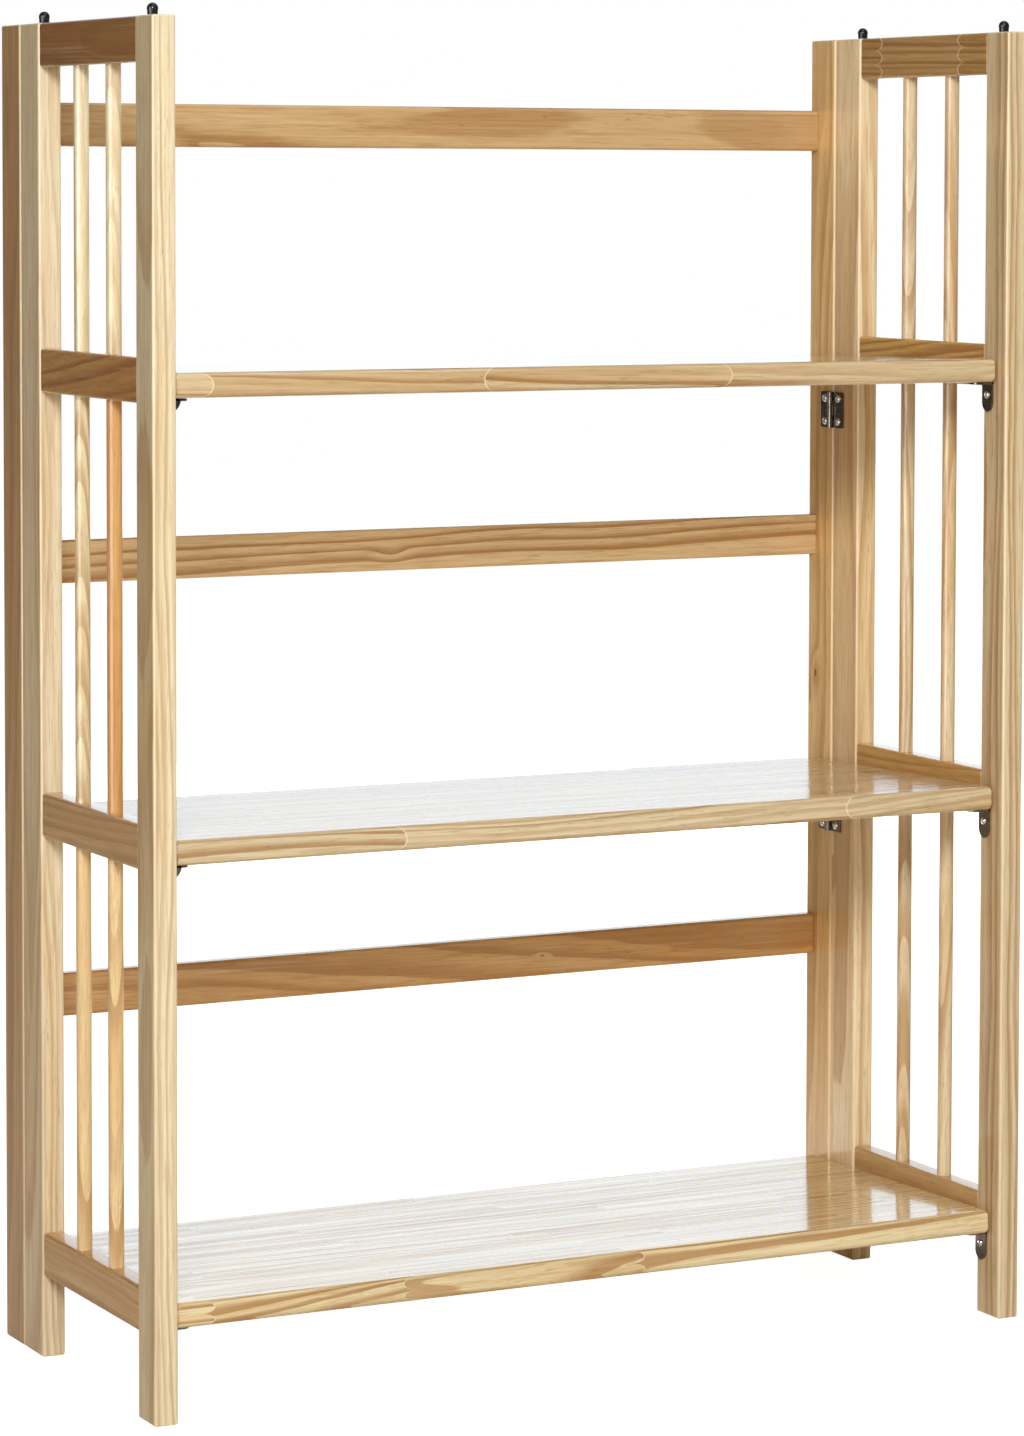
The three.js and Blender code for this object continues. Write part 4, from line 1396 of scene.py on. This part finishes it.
class BOOKCASE_OT_stacking_pins(bpy.types.Operator):
    """Makes the round-headed pins in the post tops"""

    bl_idname = "bookcase.stacking_pins"
    bl_label = "Stacking Pins"

    def execute(self, context):
        sides, neck_share, tip_share, tip_height = 40, 0.9, 0.8, 0.6 * MM

        # The rings of the round head, by their angle seen from its middle
        turns = [math.radians((25 * step - 55) / 3) for step in range(13)]
        for side, _ in SIDES:
            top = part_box(f"{side}_front_post")[1].z
            for end in ("front", "rear"):
                name = f"{side}_{end}_stacking_pin"
                low, high, middle = node_box(name)
                radius = (high.x - low.x) / 2
                neck = neck_share * radius
                rings = [(low.z, tip_share * neck), (low.z + tip_height, neck), (top, neck)]
                rings += [
                    (high.z - radius + radius * math.sin(turn), radius * math.cos(turn))
                    for turn in turns]
                shell = Shell().loft([
                    [Vector((middle.x + p.x, middle.y + p.y, z)) for p in circle(size, sides)]
                    for z, size in rings])
                stand_node(name, "plastic", shell.mesh(name), black_moulded_plastic())
        return {"FINISHED"}


class BOOKCASE_OT_screws(bpy.types.Operator):
    """Sets the pan-head screws of the hinges and brackets"""

    bl_idname = "bookcase.screws"
    bl_label = "Screws"

    def execute(self, context):
        settings = context.scene.bookcase_hardware
        pick = random.Random(7)
        hinge_spots, bracket_spots = {}, {}
        for side, sign, level in SIDE_LEVELS:
            axis = joint_place[f"{side}_side_fold"]
            face = axis.x + sign * (KNUCKLE_RADIUS - LEAF_THICKNESS)
            for leaf, reach in (("stile", 1), ("post", -1)):
                name = f"{side}_hinge_{leaf}_leaf_{level}"
                middle = node_box(name)[2].z
                for rise in (-1, 1):
                    spot = Vector((
                        face, axis.y + reach * settings.hinge_screw_reach,
                        middle + rise * settings.hinge_screw_rise))
                    hinge_spots.setdefault(body_of_node[name], []).append(
                        (spot, -sign, pick.uniform(0, math.pi / 2)))
            name = f"{side}_shelf_bracket_{level}"
            low, high, middle = node_box(name)
            inner = high.x - BRACKET_THICKNESS if sign > 0 else low.x + BRACKET_THICKNESS
            spot = Vector((inner, middle.y, high.z - settings.bracket_screw_drop))
            bracket_spots.setdefault(body_of_node[name], []).append(
                (spot, -sign, pick.uniform(0, math.pi / 2)))
        for kind, spots_of_body, diameter in (
            ("hinge", hinge_spots, settings.hinge_screw),
            ("bracket", bracket_spots, settings.bracket_screw),
        ):
            for body, spots in spots_of_body.items():
                set_heads(
                    f"{kind}_screws_{body}", body, spots, diameter=diameter,
                    height=settings.screw_rise, recess_width=settings.recess_width,
                    recess_depth=settings.recess_depth)
        return {"FINISHED"}


class BOOKCASE_OT_brads(bpy.types.Operator):
    """Sets the brads that pin the spindles into the side rails"""

    bl_idname = "bookcase.brads"
    bl_label = "Brads"

    def execute(self, context):
        settings = context.scene.bookcase_hardware
        for side, sign in SIDES:
            spots = []
            for level, above in zip(LEVELS, (*LEVELS[1:], "crown")):
                lower = node_box(f"{side}_side_rail_{level}")
                upper = node_box(f"{side}_side_rail_{above}")
                for index in (1, 2):
                    spindle = node_box(f"{side}_spindle_{level}_{index}")[2]
                    y = spindle.y + settings.brad_shift
                    for (low, high, _), z in (
                        (lower, lower[1].z - settings.brad_inset),
                        (upper, upper[0].z + settings.brad_inset / 2),
                    ):
                        face = low.x if sign > 0 else high.x
                        spots.append((Vector((face, y, z)), -sign, 0))
            set_heads(
                f"brads_{side}_side_frame", f"{side}_side_frame", spots, diameter=settings.brad,
                height=0.15 * MM, cells=6)
        return {"FINISHED"}


class BOOKCASE_PT_panel(bpy.types.Panel):
    """Lists the pieces of the bookcase and their settings"""

    bl_idname = "BOOKCASE_PT_panel"
    bl_label = "Folding Bookcase"
    bl_space_type = "VIEW_3D"
    bl_region_type = "UI"
    bl_category = "Bookcase"

    def draw(self, context):
        for operator in OPERATORS:
            self.layout.operator(operator.bl_idname)
        for group in SETTINGS:
            box = self.layout.box()
            settings = getattr(context.scene, group)
            for name in SETTINGS[group].__annotations__:
                box.prop(settings, name)


OPERATORS = (
    BOOKCASE_OT_stage, BOOKCASE_OT_uprights, BOOKCASE_OT_side_rails, BOOKCASE_OT_spindles,
    BOOKCASE_OT_back_rails, BOOKCASE_OT_shelves, BOOKCASE_OT_pivot_pins, BOOKCASE_OT_hinges,
    BOOKCASE_OT_brackets, BOOKCASE_OT_stacking_pins, BOOKCASE_OT_screws, BOOKCASE_OT_brads,
)
SETTINGS = {
    "bookcase_pine": PineSettings,
    "bookcase_hardware": HardwareSettings,
    "bookcase_stage": StageSettings,
}


def register():
    for group in SETTINGS.values():
        bpy.utils.register_class(group)
    for name, group in SETTINGS.items():
        setattr(bpy.types.Scene, name, PointerProperty(type=group))
    for operator in OPERATORS:
        bpy.utils.register_class(operator)
    bpy.utils.register_class(BOOKCASE_PT_panel)


def unregister():
    bpy.utils.unregister_class(BOOKCASE_PT_panel)
    for operator in reversed(OPERATORS):
        bpy.utils.unregister_class(operator)
    for name in SETTINGS:
        delattr(bpy.types.Scene, name)
    for group in reversed(SETTINGS.values()):
        bpy.utils.unregister_class(group)


def main():
    register()
    for operator in OPERATORS:
        getattr(bpy.ops.bookcase, operator.bl_idname.split(".")[1])()


if __name__ == "__main__":
    main()
